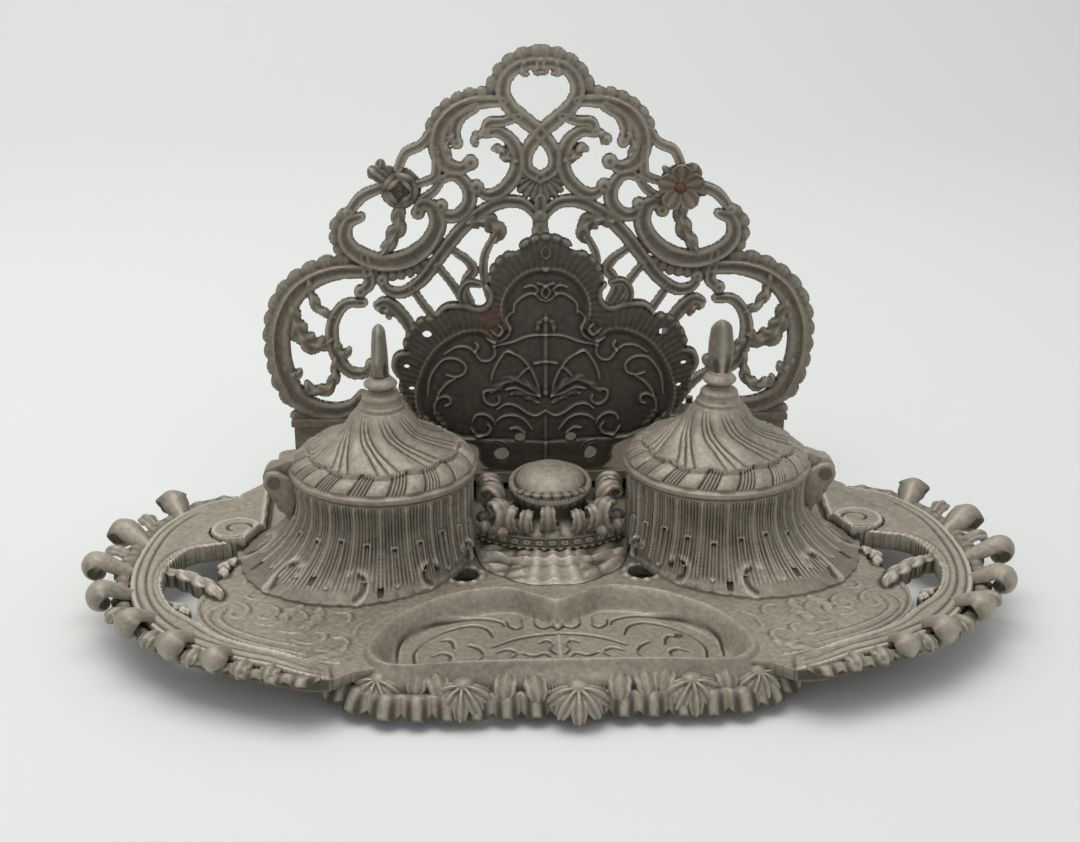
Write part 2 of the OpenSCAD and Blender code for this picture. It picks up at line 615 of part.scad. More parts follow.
// Scrolls of the back plate's left half, each a line of points with its end width,
// its middle width and the radius of its eye, drawn for a plate 217 wide and 146 high
drawn_back = [217, 146];
back_scrolls = [
    // Crest and crossing loop
    [[[0, 140], [-8, 138.5], [-13, 133.5], [-14, 128], [-11.5, 123], [-6.5, 118.5], [0, 113], [5, 106],
        [5, 99.5], [0, 96]], 4.5, 6.5, 2],
    // Second lobe with its two tails
    [[[-14, 125], [-24.5, 124.5], [-33, 121], [-38, 114.5], [-39, 108], [-36.5, 102], [-31, 99.5], [-26.5, 102]],
        4, 7, 3.2],
    [[[-24.5, 123], [-30, 119.5], [-32.5, 114], [-31.5, 109.5]], 5, 5, 2.6],
    // Leafy scroll beside the loop
    [[[-8, 119.5], [-14, 117.5], [-19.5, 117], [-21, 113.5]], 3.5, 4.5, 2.4],
    [[[-20.5, 113], [-15.5, 113.5], [-10.5, 109.5], [-8.5, 103], [-10, 96.5], [-15, 91], [-20.5, 89.5],
        [-24.5, 92.5]], 3.5, 6, 3.2],
    // Small scroll under the second lobe
    [[[-37.5, 96], [-32, 97], [-27.5, 92], [-27.5, 86], [-32, 81.5], [-37, 82], [-38, 85.5]], 3.5, 5.5, 2.8],
    // Long scroll from the middle post down to the side
    [[[0, 78], [-2.5, 82.5], [-7.5, 86.5], [-15.5, 86.5], [-24, 82], [-32, 74.5], [-39, 65.5], [-46, 56.5],
        [-53.5, 51.5], [-59.5, 52.5], [-61.5, 56.5]], 4, 6, 2.8],
    [[[-28, 79], [-21, 79], [-16.5, 75], [-18, 71]], 5, 6.5, 3],
    // Third lobe
    [[[-69, 81.5], [-74, 79], [-75, 72.5], [-70.5, 67], [-61.5, 63.5], [-51.5, 65], [-43.5, 70.5], [-39.5, 78],
        [-41, 84.5], [-45.5, 86.5], [-47, 83]], 4, 7.5, 3],
    [[[-54, 86], [-54.5, 78], [-57, 72.5], [-61, 67]], 3, 4.5, 1.8],
    // Branches round the flower
    [[[-41, 114], [-45, 109], [-51, 106], [-54, 100]], 4, 4.5, 2],
    [[[-40, 107], [-39.5, 102], [-40.5, 96.5], [-47, 94]], 3.5, 4.5, 2],
    [[[-60, 93], [-68, 89.5], [-73.5, 83]], 4, 5, 2.4],
    [[[-46, 88], [-41, 91], [-37, 96]], 3, 4, 2],
    // Large lower lobe with its hooks
    [[[-67, 60], [-78, 60], [-88, 57], [-96, 50.5], [-101, 41], [-103, 31.5], [-102, 20.5], [-97.5, 9.5],
        [-90, 4], [-82, 2.6], [-75, 4.5], [-71, 9]], 5, 9.5, 2.6],
    [[[-68, 66], [-67, 60], [-66.5, 55], [-70, 52]], 4.5, 5, 3],
    [[[-97, 46], [-95, 37], [-91.5, 31], [-86, 31.5]], 4, 7, 3],
    [[[-89, 57], [-88, 49], [-85, 43.5], [-79.5, 42]], 2.4, 3.4, 1.6],
    [[[-69, 47.5], [-76, 47], [-80.5, 41.5], [-82, 34.5], [-80.5, 26], [-76, 19.5], [-70, 18.5], [-67, 22]],
        3, 5, 2.4],
    [[[-64, 47], [-60, 47.5], [-55, 43], [-51, 36.5], [-50, 29]], 3, 5, 2.4],
    [[[-81, 25], [-82, 15.5], [-86.5, 11.5], [-92, 12.5]], 3, 4.5, 2],
    [[[-70, 19], [-62, 14], [-56, 6], [-54, 0]], 3, 4, 2],
    // Struts behind the front plate
    [[[-40, 62], [-34, 54], [-29, 46], [-20, 38]], 3, 3.6, 1.6],
    [[[-50, 53], [-44, 44], [-36, 36], [-26, 30]], 3, 3.6, 1.6],
    [[[-18, 73], [-22, 66], [-24, 58], [-22, 48]], 3, 4, 1.6]
];
// Lines of the shell beads along the outer edges, with a count of steps to a span
back_edges = [
    [[[-3, 143.5], [-9.5, 141.5], [-15, 137], [-17, 131]], 2, 2.2],
    [[[-21, 128.5], [-28, 127], [-35.5, 123], [-40.5, 116.5], [-42.5, 109]], 2, 2.2],
    [[[-74, 84], [-78, 79], [-78.5, 72.5], [-76, 67]], 2, 2.2],
    [[[-78, 64], [-88, 61.5], [-97, 55.5], [-103, 47], [-106, 37], [-106, 26], [-103.5, 15.5], [-99, 7]], 2, 2.5],
    [[[-66, 60], [-58, 59], [-50, 60], [-43, 63.5]], 2, 1.7]
];
module back_plate_plan() scale([back_plate_w / drawn_back[0], back_plate_h / drawn_back[1]])
    offset(delta = 0.3) offset(delta = -1) offset(delta = 0.7) intersection() {
        translate([-drawn_back[0], 0]) square([drawn_back[0] * 2, drawn_back[1]]);
        for (m = [0, 1]) mirror([m, 0]) {
            for (b = back_scrolls) scroll(b[0], b[1], b[2], b[3]);
            for (e = back_edges) for (p = open_curve(e[0], e[1])) translate(p) circle(r = e[2], $fn = 10);
            translate([-53.5, 92.5]) circle(r = 8, $fn = 20);
            translate([-58, 97]) circle(r = 4, $fn = 12);
            polygon([[-98, 0], [-98, 3.2], [0, 3.2], [0, 0]]);
            polygon([[0, 96], [-5, 95.5], [-10, 91], [-6.5, 87], [0, 85.5]]);
            polygon([[0, 88], [-2.2, 88], [-3.2, 74], [-4, 40], [-30, 34], [-40, 20], [-44, 2], [0, 2]]);
            translate([0, 143]) circle(r = 3, $fn = 12);
        }
    }
module upright(y, z, t) {
    translate([0, y + t, z]) rotate([90, 0, 0]) linear_extrude(t) children();
}
module lugs(x, y, z) {
    for (side = [-x, x]) translate([side - lug[0] / 2, y - eps, z]) cube(lug);
}
flower_at = [53.5 * back_plate_w / drawn_back[0], 92.5 * back_plate_h / drawn_back[1]];
module back_plate() color(iron) difference() {
    union() {
        upright(back_plate_y, riser_top, back_plate_t) back_plate_plan();
        lugs(back_lug_x, back_plate_y + back_plate_t, riser_top);
    }
    for (x = [-back_lug_x, back_lug_x]) translate([x, back_plate_y + back_plate_t + lug[1] / 2, riser_top - 1])
        cylinder(r = slot, h = 6.5);
    for (x = [-1, 1]) translate([x * flower_at[0], back_plate_y - 1, riser_top + flower_at[1]])
        rotate([-90, 0, 0]) cylinder(r = slot, h = back_plate_t + 2);
}

// Half outline of the front plate, from the top to the foot, drawn 108 wide and 89 high
drawn_front = [108, 89];
front_half = [[0, 89], [-7, 87], [-11, 83], [-16.5, 81], [-19.5, 76], [-20, 70], [-24, 67.5], [-29, 64.5],
    [-37, 62], [-44, 59], [-49, 54], [-50.5, 48.5], [-54, 44], [-54, 37], [-51.5, 30], [-47, 22.5], [-39, 16],
    [-29, 11], [-24, 5], [-17, 0], [0, 0]];
front_holes = [[-46, 51, 1.8], [-50, 41, 1.6], [-49.5, 33, 1.4], [-20, 62, 3.2], [-11.5, 13, 2.2], [-16, 5.5, 3],
    [-16.5, 76.5, 1.4]];
module front_outline() intersection() {
    polygon(both_halves(open_curve(front_half, 2)));
    translate([-drawn_front[0], 0]) square([drawn_front[0] * 2, drawn_front[1] * 2]);
}
module front_plate_plan() scale([front_plate_w / drawn_front[0], front_plate_h / drawn_front[1]]) difference() {
    front_outline();
    for (m = [0, 1]) mirror([m, 0]) for (h = front_holes) translate([h[0], h[1]]) circle(r = h[2], $fn = 24);
}
module front_plate() color(dark_iron) difference() {
    union() {
        upright(front_plate_y, rack_floor, front_plate_t) front_plate_plan();
        upright(front_plate_y - 1.2, rack_floor, 1.2 + eps)
            scale([front_plate_w / drawn_front[0], front_plate_h / drawn_front[1]]) difference() {
                front_outline();
                translate([0, 61]) circle(r = 16);
                for (x = [-1, 1]) translate([x * 26, 34]) scale([1, 0.93]) circle(r = 21.5);
                translate([-26, 14]) square([52, 34]);
                for (m = [0, 1]) mirror([m, 0]) for (h = front_holes) translate([h[0], h[1]])
                    circle(r = h[2] + 0.2, $fn = 24);
            }
        lugs(front_lug_x, front_plate_y + front_plate_t, rack_floor);
    }
    for (x = [-front_lug_x, front_lug_x])
        translate([x, front_plate_y + front_plate_t + lug[1] / 2, rack_floor - 1]) cylinder(r = slot, h = 6.5);
}

module at_flower(side) {
    translate([side * flower_at[0], back_plate_y, riser_top + flower_at[1]]) rotate([90, 0, 0]) children();
}
module plate_rose() color(iron) at_flower(-1) difference() {
    union() {
        for (a = [0 : 72 : 288]) rotate([0, 0, a]) translate([5, 0, 0]) cylinder(r = 4.2, h = 1.6);
        cylinder(r = 6.2, h = 3);
        cylinder(r1 = 4.6, r2 = 3.4, h = 5);
        rotate([0, 0, 35]) translate([-10.5, 0, 0]) cylinder(r = 3, h = 2.4);
        rotate([0, 0, 35]) translate([-10.5, -1.6, 0]) cube([6, 3.2, 1.6]);
    }
    translate([0, 0, -1]) cylinder(r = slot, h = 4);
    translate([0, 0, 4.2]) cylinder(r = 1.5, h = 2);
}
rivet_seat = 1.2;
module plate_flower() color(iron) at_flower(1) difference() {
    union() {
        for (a = [0 : 60 : 300]) rotate([0, 0, a]) translate([5.6, 0, 0]) cylinder(r1 = 3.2, r2 = 3.8, h = 2);
        cylinder(r = 4.4, h = 1.4);
    }
    translate([0, 0, -1]) cylinder(r = slot, h = 4);
    translate([0, 0, rivet_seat]) cylinder(r = screw_head_r, h = 2);
    for (a = [0 : 60 : 300]) rotate([0, 0, a]) translate([6.4, 0, 1.2]) cylinder(r1 = 1.2, r2 = 2.4, h = 1);
}
module flower_rivets() color(dark_iron) {
    at_flower(-1) {
        translate([0, 0, -back_plate_t - 1]) cylinder(r = screw_head_r * 0.8, h = 1);
        translate([0, 0, -back_plate_t - eps]) cylinder(r = screw_r, h = back_plate_t + 2.8);
    }
    at_flower(1) {
        translate([0, 0, -back_plate_t - 1]) cylinder(r = screw_head_r * 0.8, h = 1);
        translate([0, 0, -back_plate_t - eps]) cylinder(r = screw_r, h = back_plate_t + rivet_seat + 0.2);
        translate([0, 0, rivet_seat]) intersection() {
            translate([0, 0, -0.8]) sphere(r = screw_head_r * 0.85, $fn = 32);
            cylinder(r = screw_head_r, h = 4);
        }
    }
}

// Small ball on a short foot, on the rack's ledge in front of the front plate
module rack_knob() color(iron) translate([-2.5, front_plate_y - 1.2 - 2.2, rack_floor]) {
    cylinder(r = 1.6, h = 2);
    translate([0, 0, 2.6]) sphere(r = 2, $fn = 32);
}

module housing_screws() color(dark_iron)
    for (s = [-1, 1]) at_housing_screws(s) screw_up(tray_top - tray_t, tray_t + 3);
module pedestal_screw() color(dark_iron) translate([pedestal_screw_point[0], pedestal_screw_point[1], 0])
    screw_up(tray_top - tray_t, tray_t + bow_base - tray_top + 4);
module rack_screws() color(dark_iron)
    for (p = rack_screw_points) translate([p[0], p[1], 0]) screw_up(tray_top - tray_t, tray_t + rack_floor_h - 4);
module plate_screws() color(dark_iron) {
    for (x = [-back_lug_x, back_lug_x]) translate([x, back_plate_y + back_plate_t + lug[1] / 2, 0])
        screw_up(tray_top - tray_t, tray_t + riser_top - tray_top + 5);
    for (x = [-front_lug_x, front_lug_x]) translate([x, front_plate_y + front_plate_t + lug[1] / 2, 0])
        screw_up(rack_floor - rack_floor_t, rack_floor_t + 5);
}

base_tray();
well_housing(-1);  // well_housing_left
well_housing(1);  // well_housing_right
ink_glass(-1);  // ink_glass_left
ink_glass(1);  // ink_glass_right
lid(-1);  // lid_left
lid(1);  // lid_right
finial(-1, 80);  // finial_left
finial(1, 5);  // finial_right
finial_nut(-1);  // finial_nut_left
finial_nut(1);  // finial_nut_right
hinge_pin(-1);  // hinge_pin_left
hinge_pin(1);  // hinge_pin_right
centre_pedestal();
centre_boss();
rack_base();
front_plate();
back_plate();
plate_rose();
plate_flower();
flower_rivets();
rack_knob();
housing_screws();
pedestal_screw();
rack_screws();
plate_screws();
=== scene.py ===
"""Looks of the desk inkstand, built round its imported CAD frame.

Lengths are written in millimetres and turned into metres when a mesh is made.
"""
import math

import bpy
import numpy as np
from mathutils.geometry import delaunay_2d_cdt
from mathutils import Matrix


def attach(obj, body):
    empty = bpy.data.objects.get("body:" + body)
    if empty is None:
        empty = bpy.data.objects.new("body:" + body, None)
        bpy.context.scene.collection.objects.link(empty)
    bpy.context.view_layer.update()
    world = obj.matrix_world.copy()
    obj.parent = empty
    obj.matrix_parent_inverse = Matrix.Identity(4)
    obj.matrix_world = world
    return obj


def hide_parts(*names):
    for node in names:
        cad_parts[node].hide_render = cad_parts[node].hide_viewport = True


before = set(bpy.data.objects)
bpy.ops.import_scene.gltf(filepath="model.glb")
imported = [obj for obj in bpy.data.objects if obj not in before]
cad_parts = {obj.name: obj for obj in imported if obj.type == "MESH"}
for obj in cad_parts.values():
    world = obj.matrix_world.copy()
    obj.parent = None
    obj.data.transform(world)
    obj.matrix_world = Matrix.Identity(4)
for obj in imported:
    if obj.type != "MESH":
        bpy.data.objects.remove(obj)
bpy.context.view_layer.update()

MM = 0.001

# Places taken over from the CAD frame, in mm
WELL_X, WELL_Y = 58.3, 8.5
TRAY_TOP = 15.0
WELL_TOP, LID_Z, FINIAL_Z = 44.4, 44.7, 71.1
HINGE_OUT, HINGE_Z = 37.5, 43.0
WING_X = 144
RACK_FLOOR, RISER_TOP = 27.0, 31.6
FRONT_PLATE_Y, BACK_PLATE_Y = 46.5, 90.5
DISH_MID = -56.0
BOW_Y, BOW_R = 30.2, 36.2
BOSS_Y, BOSS_Z, BOSS_TILT = 11.5, 36, 8
FLOWER_X, FLOWER_Z = 53.5, 92.5
FEET = ((88, -52), (-88, -52), (88, 62), (-88, 62))
ROUND_HOLE, HOLE_R = (30.5, -15.5), 5
VOLUTE, VOLUTE_R = (112, 17), 9.5
NECK_R = 30.4

# Widths of the two plates over the widths that their lines are drawn to
BACK_WIDE, FRONT_WIDE = 215 / 217, 106.5 / 108
# Patterns that repeat round a housing and a lid, and their grids of points
HOUSING_RIBS, FLUTE_GROUPS, BAND_CELLS = 44, 9, 15
HOUSING_GRID, NECK_ROWS, LID_GRID = (880, 88), 11, (780, 112)


# Lines

def smooth(points, steps=8):
    """Catmull-Rom line through the points: each span blends its four neighbours with cubic weights."""
    p = np.asarray(points, float)
    p = np.vstack([p[:1], p, p[-1:]])
    t = (np.arange(steps) / steps)[None, :, None]
    a, b, c, d = (p[i:len(p) - 3 + i, None, :] for i in range(4))
    line = 0.5 * (2 * b + (c - a) * t + (2 * a - 5 * b + 4 * c - d) * t ** 2
                  + (3 * b - a - 3 * c + d) * t ** 3)
    return np.vstack([line.reshape(-1, p.shape[1]), p[-1:]])


def closed(points, steps=6):
    """Closed Catmull-Rom loop through the points, without the repeated end."""
    p = np.asarray(points, float)
    p = np.vstack([p[-1:], p, p[:2]])
    t = (np.arange(steps) / steps)[None, :, None]
    a, b, c, d = (p[i:len(p) - 3 + i, None, :] for i in range(4))
    line = 0.5 * (2 * b + (c - a) * t + (2 * a - 5 * b + 4 * c - d) * t ** 2
                  + (3 * b - a - 3 * c + d) * t ** 3)
    return line.reshape(-1, p.shape[1])


def mirrored(points):
    """The same points on the other side of the middle."""
    return [(-p[0],) + tuple(p[1:]) for p in points]


def as_drawn(points):
    """The points themselves, for the side that lines are drawn on."""
    return points


def closed_line(points):
    """A loop as an open line that comes back to its start."""
    loop = closed(points, 5)
    return np.vstack([loop, loop[:1]])


def round_angles(n):
    """n even angles round a circle."""
    return np.arange(n) * 2 * np.pi / n


def bump(x, at, wide):
    """Smooth bump of height 1 round a place: exp(-((x - at) / wide)^2)."""
    return np.exp(-((x - at) / wide) ** 2)


def ease(x):
    """Smooth step from 0 to 1."""
    x = np.clip(x, 0, 1)
    return x * x * (3 - 2 * x)


# Relief fields

class Relief:
    """A grid of points (u, v) with the distance to the casting's edge (inside is negative) and a height."""

    def __init__(self, u0, u1, v0, v1, step):
        self.step = step
        self.u = np.arange(u0, u1 + step / 2, step)
        self.v = np.arange(v0, v1 + step / 2, step)
        self.U, self.V = np.meshgrid(self.u, self.v, indexing="ij")
        self.edge = np.full(self.U.shape, 1e3)
        self.height = np.zeros(self.U.shape)

    def window(self, low, high, pad):
        """Slices of the grid that cover a box with some room round it."""
        i0, j0 = (max(0, int((a - b - pad) / self.step)) for a, b in zip(low, (self.u[0], self.v[0])))
        i1, j1 = (int((a - b + pad) / self.step) + 2 for a, b in zip(high, (self.u[0], self.v[0])))
        return slice(i0, max(i1, i0 + 1)), slice(j0, max(j1, j0 + 1))

    def polar(self, at):
        """Distance and angle of every grid point, seen from a point."""
        return np.hypot(self.U - at[0], self.V - at[1]), np.arctan2(self.V - at[1], self.U - at[0])

    def near(self, line, width, pad):
        """For the grid points round a line: distance beyond the line's half width, distance to the line,
        half width there, length along the line, and the side, found segment by segment."""
        line, width = np.asarray(line, float), np.asarray(width, float)
        win = self.window(line.min(0), line.max(0), width.max() + pad)
        u, v = self.U[win], self.V[win]
        over = np.full(u.shape, 1e3)
        dist, half, along, side = np.full(u.shape, 1e3), np.ones(u.shape), np.zeros(u.shape), np.ones(u.shape)
        run = 0.0
        for a, b, w0, w1 in zip(line[:-1], line[1:], width[:-1], width[1:]):
            d = b - a
            length = math.hypot(*d)
            if length < 1e-9:
                continue
            sub = self.window(np.minimum(a, b), np.maximum(a, b), max(w0, w1) + pad)
            si = slice(sub[0].start - win[0].start, sub[0].stop - win[0].start)
            sj = slice(sub[1].start - win[1].start, sub[1].stop - win[1].start)
            uu, vv = u[si, sj], v[si, sj]
            if uu.size:
                t = np.clip(((uu - a[0]) * d[0] + (vv - a[1]) * d[1]) / length ** 2, 0, 1)
                x, y = uu - a[0] - t * d[0], vv - a[1] - t * d[1]
                q = np.hypot(x, y)
                w = w0 + (w1 - w0) * t
                better = q - w < over[si, sj]
                for store, value in ((over, q - w), (dist, q), (half, w), (along, run + t * length),
                                     (side, np.sign(d[0] * y - d[1] * x))):
                    store[si, sj] = np.where(better, value, store[si, sj])
            run += length
        return win, over, dist, half, along, side, run

    def add(self, win, over, height):
        """Joins a form to the relief: the edge is the outer one, and the higher surface wins."""
        self.edge[win] = np.minimum(self.edge[win], over)
        inside = over < 0.6 * self.step
        self.height[win] = np.where(inside, np.maximum(self.height[win], height), self.height[win])

    def band(self, points, w0, w1, top=1.0, lobes=0.0, pitch=4.0, trough=0.35, eye=0.0, steps=7):
        """A moulded bar along a line. Its half width swells from w0 to w1 and back, and waves by lobes at a
        pitch on its outer side. Its section is a round bar with a trough between two rims."""
        line = smooth(points, steps)
        t = np.linspace(0, 1, len(line))
        width = w0 / 2 + (w1 - w0) / 2 * np.sin(np.pi * t)
        win, over, dist, half, along, side, _ = self.near(line, width, 3)
        if lobes:
            wave = np.abs(np.cos(np.pi * along / pitch)) ** 0.7
            half = half * (1 + lobes * wave * (np.abs(side) if lobes > 0 else 1))
            over = dist - half
        s = np.clip(dist / np.maximum(half, 0.1), 0, 1)
        h = top * (np.sqrt(np.clip(1 - s ** 5, 0, 1)) * (1 - trough * np.exp(-(s / 0.42) ** 4)))
        if lobes:
            h = h * (0.72 + 0.28 * np.abs(np.cos(np.pi * along / pitch)) ** 0.5)
        self.add(win, over, h)
        if eye:
            self.knob(points[-1], eye, top * 1.15)

    def shell(self, points, w, pitch=4.6, top=0.8, ribs=2):
        """A scalloped edge: each lobe is a small fan with ribs across it, and lobes repeat along the line."""
        line = smooth(points, 7)
        win, _, dist, _, along, _, run = self.near(line, np.full(len(line), w), 4)
        count = max(1, round(run / pitch))
        phase = np.pi * along * count / run
        lobe = np.abs(np.sin(phase)) ** 0.55
        half = w * (0.62 + 0.5 * lobe)
        s = np.clip(dist / half, 0, 1)
        fan = 0.5 + 0.5 * np.cos(2 * phase * (ribs + 1))
        h = top * np.sqrt(np.clip(1 - s ** 4, 0, 1)) * (0.45 + 0.45 * lobe + 0.16 * fan)
        self.add(win, dist - half, h)

    def knob(self, at, r, top=1.1, hollow=0.35):
        """A round eye: a low dome with a dimple in it."""
        win = self.window(at, at, r + 3)
        q = np.hypot(self.U[win] - at[0], self.V[win] - at[1])
        s = np.clip(q / r, 0, 1)
        h = top * (np.sqrt(np.clip(1 - s ** 3, 0, 1)) - hollow * np.exp(-(s / 0.33) ** 2))
        self.add(win, q - r, h)

    def leaf(self, points, w, lobes=5, top=1.1, w_end=0.25):
        """An acanthus leaf along a line: an outline cut into lobes, a mid rib and a vein to each lobe."""
        line = smooth(points, 7)
        t = np.linspace(0, 1, len(line))
        width = w / 2 * (w_end + (1 - w_end) * np.sin(np.pi * np.clip(t * 0.92 + 0.06, 0, 1)) ** 0.7)
        win, _, dist, half, along, side, run = self.near(line, width, 3)
        phase = np.pi * lobes * along / run
        half = half * (0.72 + 0.42 * np.abs(np.sin(phase + 0.5 * side)))
        s = np.clip(dist / np.maximum(half, 0.1), 0, 1)
        vein = 0.5 + 0.5 * np.cos(2 * (phase - 1.5 * s))
        h = top * np.sqrt(np.clip(1 - s ** 3, 0, 1)) * (0.62 + 0.38 * vein)
        h = h + 0.25 * top * np.exp(-(s / 0.16) ** 2)
        self.add(win, dist - half, h)

    def fan(self, at, r, a0, a1, lobes, top=1.0):
        """A shell fan round a point, from angle a0 to a1 in degrees: lobed edge and a rib to each lobe."""
        win = self.window(at, at, r + 4)
        x, y = self.U[win] - at[0], self.V[win] - at[1]
        q = np.hypot(x, y)
        share = ((np.degrees(np.arctan2(y, x)) - a0) % 360) / ((a1 - a0) % 360)
        wave = np.abs(np.sin(np.pi * share * lobes))
        reach = r * (0.86 + 0.14 * wave ** 0.6)
        span = (a1 - a0) % 360
        past = np.minimum((share - 1) * span, 360 - share * span).clip(0, 90)
        outside = np.where(share > 1, q * np.sin(np.radians(past)), 0)
        h = top * (0.45 + 0.55 * wave) * np.sqrt(np.clip(1 - (q / reach) ** 5, 0, 1)) * (0.6 + 0.4 * q / r)
        self.add(win, np.where(share > 1, np.maximum(outside, 0.3), q - reach), h)

    def line_on(self, points, w=0.7, h=0.4, steps=7, taper=True):
        """A thin raised line drawn on what is there."""
        line = smooth(points, steps)
        t = np.linspace(0, 1, len(line))
        width = w / 2 * (0.35 + 0.65 * np.sin(np.pi * t) ** 0.5 if taper else np.ones(len(line)))
        win, _, dist, half, *_ = self.near(line, width, 1.5)
        self.height[win] += h * bump(dist, 0, np.maximum(half * 1.15, 0.1))

    def disc_cut(self, at, r):
        """A round hole through the casting."""
        win = self.window(at, at, r + 4)
        q = np.hypot(self.U[win] - at[0], self.V[win] - at[1])
        self.edge[win] = np.maximum(self.edge[win], r - q)

    def polygon_edge(self, loop):
        """Signed distance to a closed loop of points, inside negative, by distance to each side and a
        crossing count along rows."""
        loop = np.asarray(loop, float)
        q2 = np.full(self.U.shape, 1e9)
        inside = np.zeros(self.U.shape, bool)
        for a, b in zip(loop, np.roll(loop, -1, axis=0)):
            d = b - a
            t = np.clip(((self.U - a[0]) * d[0] + (self.V - a[1]) * d[1]) / max(d @ d, 1e-12), 0, 1)
            q2 = np.minimum(q2, (self.U - a[0] - t * d[0]) ** 2 + (self.V - a[1] - t * d[1]) ** 2)
            crosses = (a[1] > self.V) != (b[1] > self.V)
            at = a[0] + (self.V - a[1]) * d[0] / (d[1] if abs(d[1]) > 1e-12 else 1e-12)
            inside ^= crosses & (self.U < at)
        q = np.sqrt(q2)
        return np.where(inside, -q, q)


def blurred(a, r):
    """Mean over a square of 2r+1 points, by running sums."""
    for axis in (0, 1):
        pad = [(0, 0), (0, 0)]
        pad[axis] = (r + 1, r)
        c = np.cumsum(np.pad(a, pad, mode="edge"), axis=axis)
        n = a.shape[axis]
        a = np.take(c, np.arange(n) + 2 * r + 1, axis=axis) - np.take(c, np.arange(n), axis=axis)
        a = a / (2 * r + 1)
    return a


# Meshes

def make_mesh(name, points, faces, wear_and_shade=None, sharp=35):
    """Object from points in mm and faces, smooth but for edges sharper than an angle."""
    mesh = bpy.data.meshes.new(name)
    points = np.asarray(points, float) * MM
    if isinstance(faces, np.ndarray):
        k = faces.shape[1]
        mesh.vertices.add(len(points))
        mesh.vertices.foreach_set("co", points.astype(np.float32).ravel())
        mesh.loops.add(faces.size)
        mesh.loops.foreach_set("vertex_index", faces.astype(np.int32).ravel())
        mesh.polygons.add(len(faces))
        mesh.polygons.foreach_set("loop_start", np.arange(0, faces.size, k, dtype=np.int32))
        mesh.update(calc_edges=True)
        mesh.validate()
    else:
        mesh.from_pydata(points.tolist(), [], faces)
    # The per-point attribute stored here: above zero worn raised edges, below zero painted shade in hollows,
    # gaps and undersides.
    if wear_and_shade is not None and len(mesh.vertices) == len(points):
        mesh.attributes.new("wear_and_shade", "FLOAT", "POINT").data.foreach_set("value",
                                                                       np.asarray(wear_and_shade, np.float32).ravel())
    mesh.polygons.foreach_set("use_smooth", np.ones(len(mesh.polygons), bool))
    mesh.set_sharp_from_angle(angle=math.radians(sharp))
    obj = bpy.data.objects.new(name, mesh)
    bpy.context.scene.collection.objects.link(obj)
    return obj


def sheet_mesh(name, field, place, back, wear_and_shade_gain=1.4, flip=False):
    """Closed casting from a relief. Points nearer than half a step to the edge are moved onto it, triangles
    outside are left out, and the rim is carried to the flat back, which is filled between its loops.
    place(u, v, h) gives the point in mm, and back is the height of the back."""
    step, edge = field.step, field.edge
    eu, ev = np.gradient(edge, step)
    size = np.maximum(np.hypot(eu, ev), 0.3)
    snap = np.abs(edge) < 0.56 * step
    du = np.where(snap, -edge * eu / size ** 2, 0)
    dv = np.where(snap, -edge * ev / size ** 2, 0)
    limit = 0.7 * step / np.maximum(np.hypot(du, dv), 0.7 * step)
    U, V = field.U + du * limit, field.V + dv * limit
    inside = (edge < 0) | snap
    idx = np.arange(field.U.size).reshape(field.U.shape)
    a, b, c, d = idx[:-1, :-1], idx[1:, :-1], idx[1:, 1:], idx[:-1, 1:]
    strict = (edge < 0) & ~snap
    pick = strict[:-1, :-1].astype(int) + strict[1:, 1:] >= strict[1:, :-1].astype(int) + strict[:-1, 1:]
    t1 = np.where(pick[..., None], np.stack([a, b, c], -1), np.stack([a, b, d], -1)).reshape(-1, 3)
    t2 = np.where(pick[..., None], np.stack([a, c, d], -1), np.stack([b, c, d], -1)).reshape(-1, 3)
    tri = np.vstack([t1, t2])
    keep = inside.ravel()[tri].all(1) & ~snap.ravel()[tri].all(1)
    pu, pv = U.ravel()[tri], V.ravel()[tri]
    area = (pu[:, 1] - pu[:, 0]) * (pv[:, 2] - pv[:, 0]) - (pu[:, 2] - pu[:, 0]) * (pv[:, 1] - pv[:, 0])
    tri = tri[keep & (area > 1e-4 * step ** 2)]
    tri = drop_pinches(tri)
    used, tri = np.unique(tri, return_inverse=True)
    tri = tri.reshape(-1, 3)
    u, v, h = U.ravel()[used], V.ravel()[used], field.height.ravel()[used]
    # Height above its blur marks worn raised edges; height below it is painted shade in the hollows.
    relief = field.height - blurred(field.height, max(1, round(1.6 / step)))
    wear_and_shade = np.clip(relief.ravel()[used] * wear_and_shade_gain, -1, 1)
    rim = border_edges(tri)
    on_rim = np.unique(rim)
    low_of = np.zeros(len(used), int)
    low_of[on_rim] = len(used) + np.arange(len(on_rim))
    walls = np.vstack([np.stack([rim[:, 1], rim[:, 0], low_of[rim[:, 0]]], 1),
                       np.stack([rim[:, 1], low_of[rim[:, 0]], low_of[rim[:, 1]]], 1)])
    flat = np.stack([u[on_rim], v[on_rim]], 1)
    ends = np.searchsorted(on_rim, rim)
    out_v, _, out_f, orig, *_ = delaunay_2d_cdt(flat.tolist(), ends.tolist(), [], 1, 1e-7)
    source = np.array([low_of[on_rim[o[0]]] if o else -1 for o in orig])
    out_f = np.array([f for f in out_f if len(f) == 3], int)
    middle = np.array([p[:] for p in out_v])[out_f].mean(1)
    base = source[out_f][:, ::-1]
    whole = (base >= 0).all(1) & (base != np.roll(base, 1, axis=1)).all(1)
    base = base[whole & inside_loops(middle, flat[ends[:, 0]], flat[ends[:, 1]])]
    points = np.vstack([place(u, v, h), place(u[on_rim], v[on_rim], np.full(len(on_rim), back))])
    faces = np.vstack([tri, walls, base])
    if flip:
        faces = faces[:, ::-1]
    # The walls and the flat back get -0.3: painted shade on the sides and underside.
    return make_mesh(name, points, faces, np.concatenate([wear_and_shade, np.full(len(on_rim), -0.3)]))


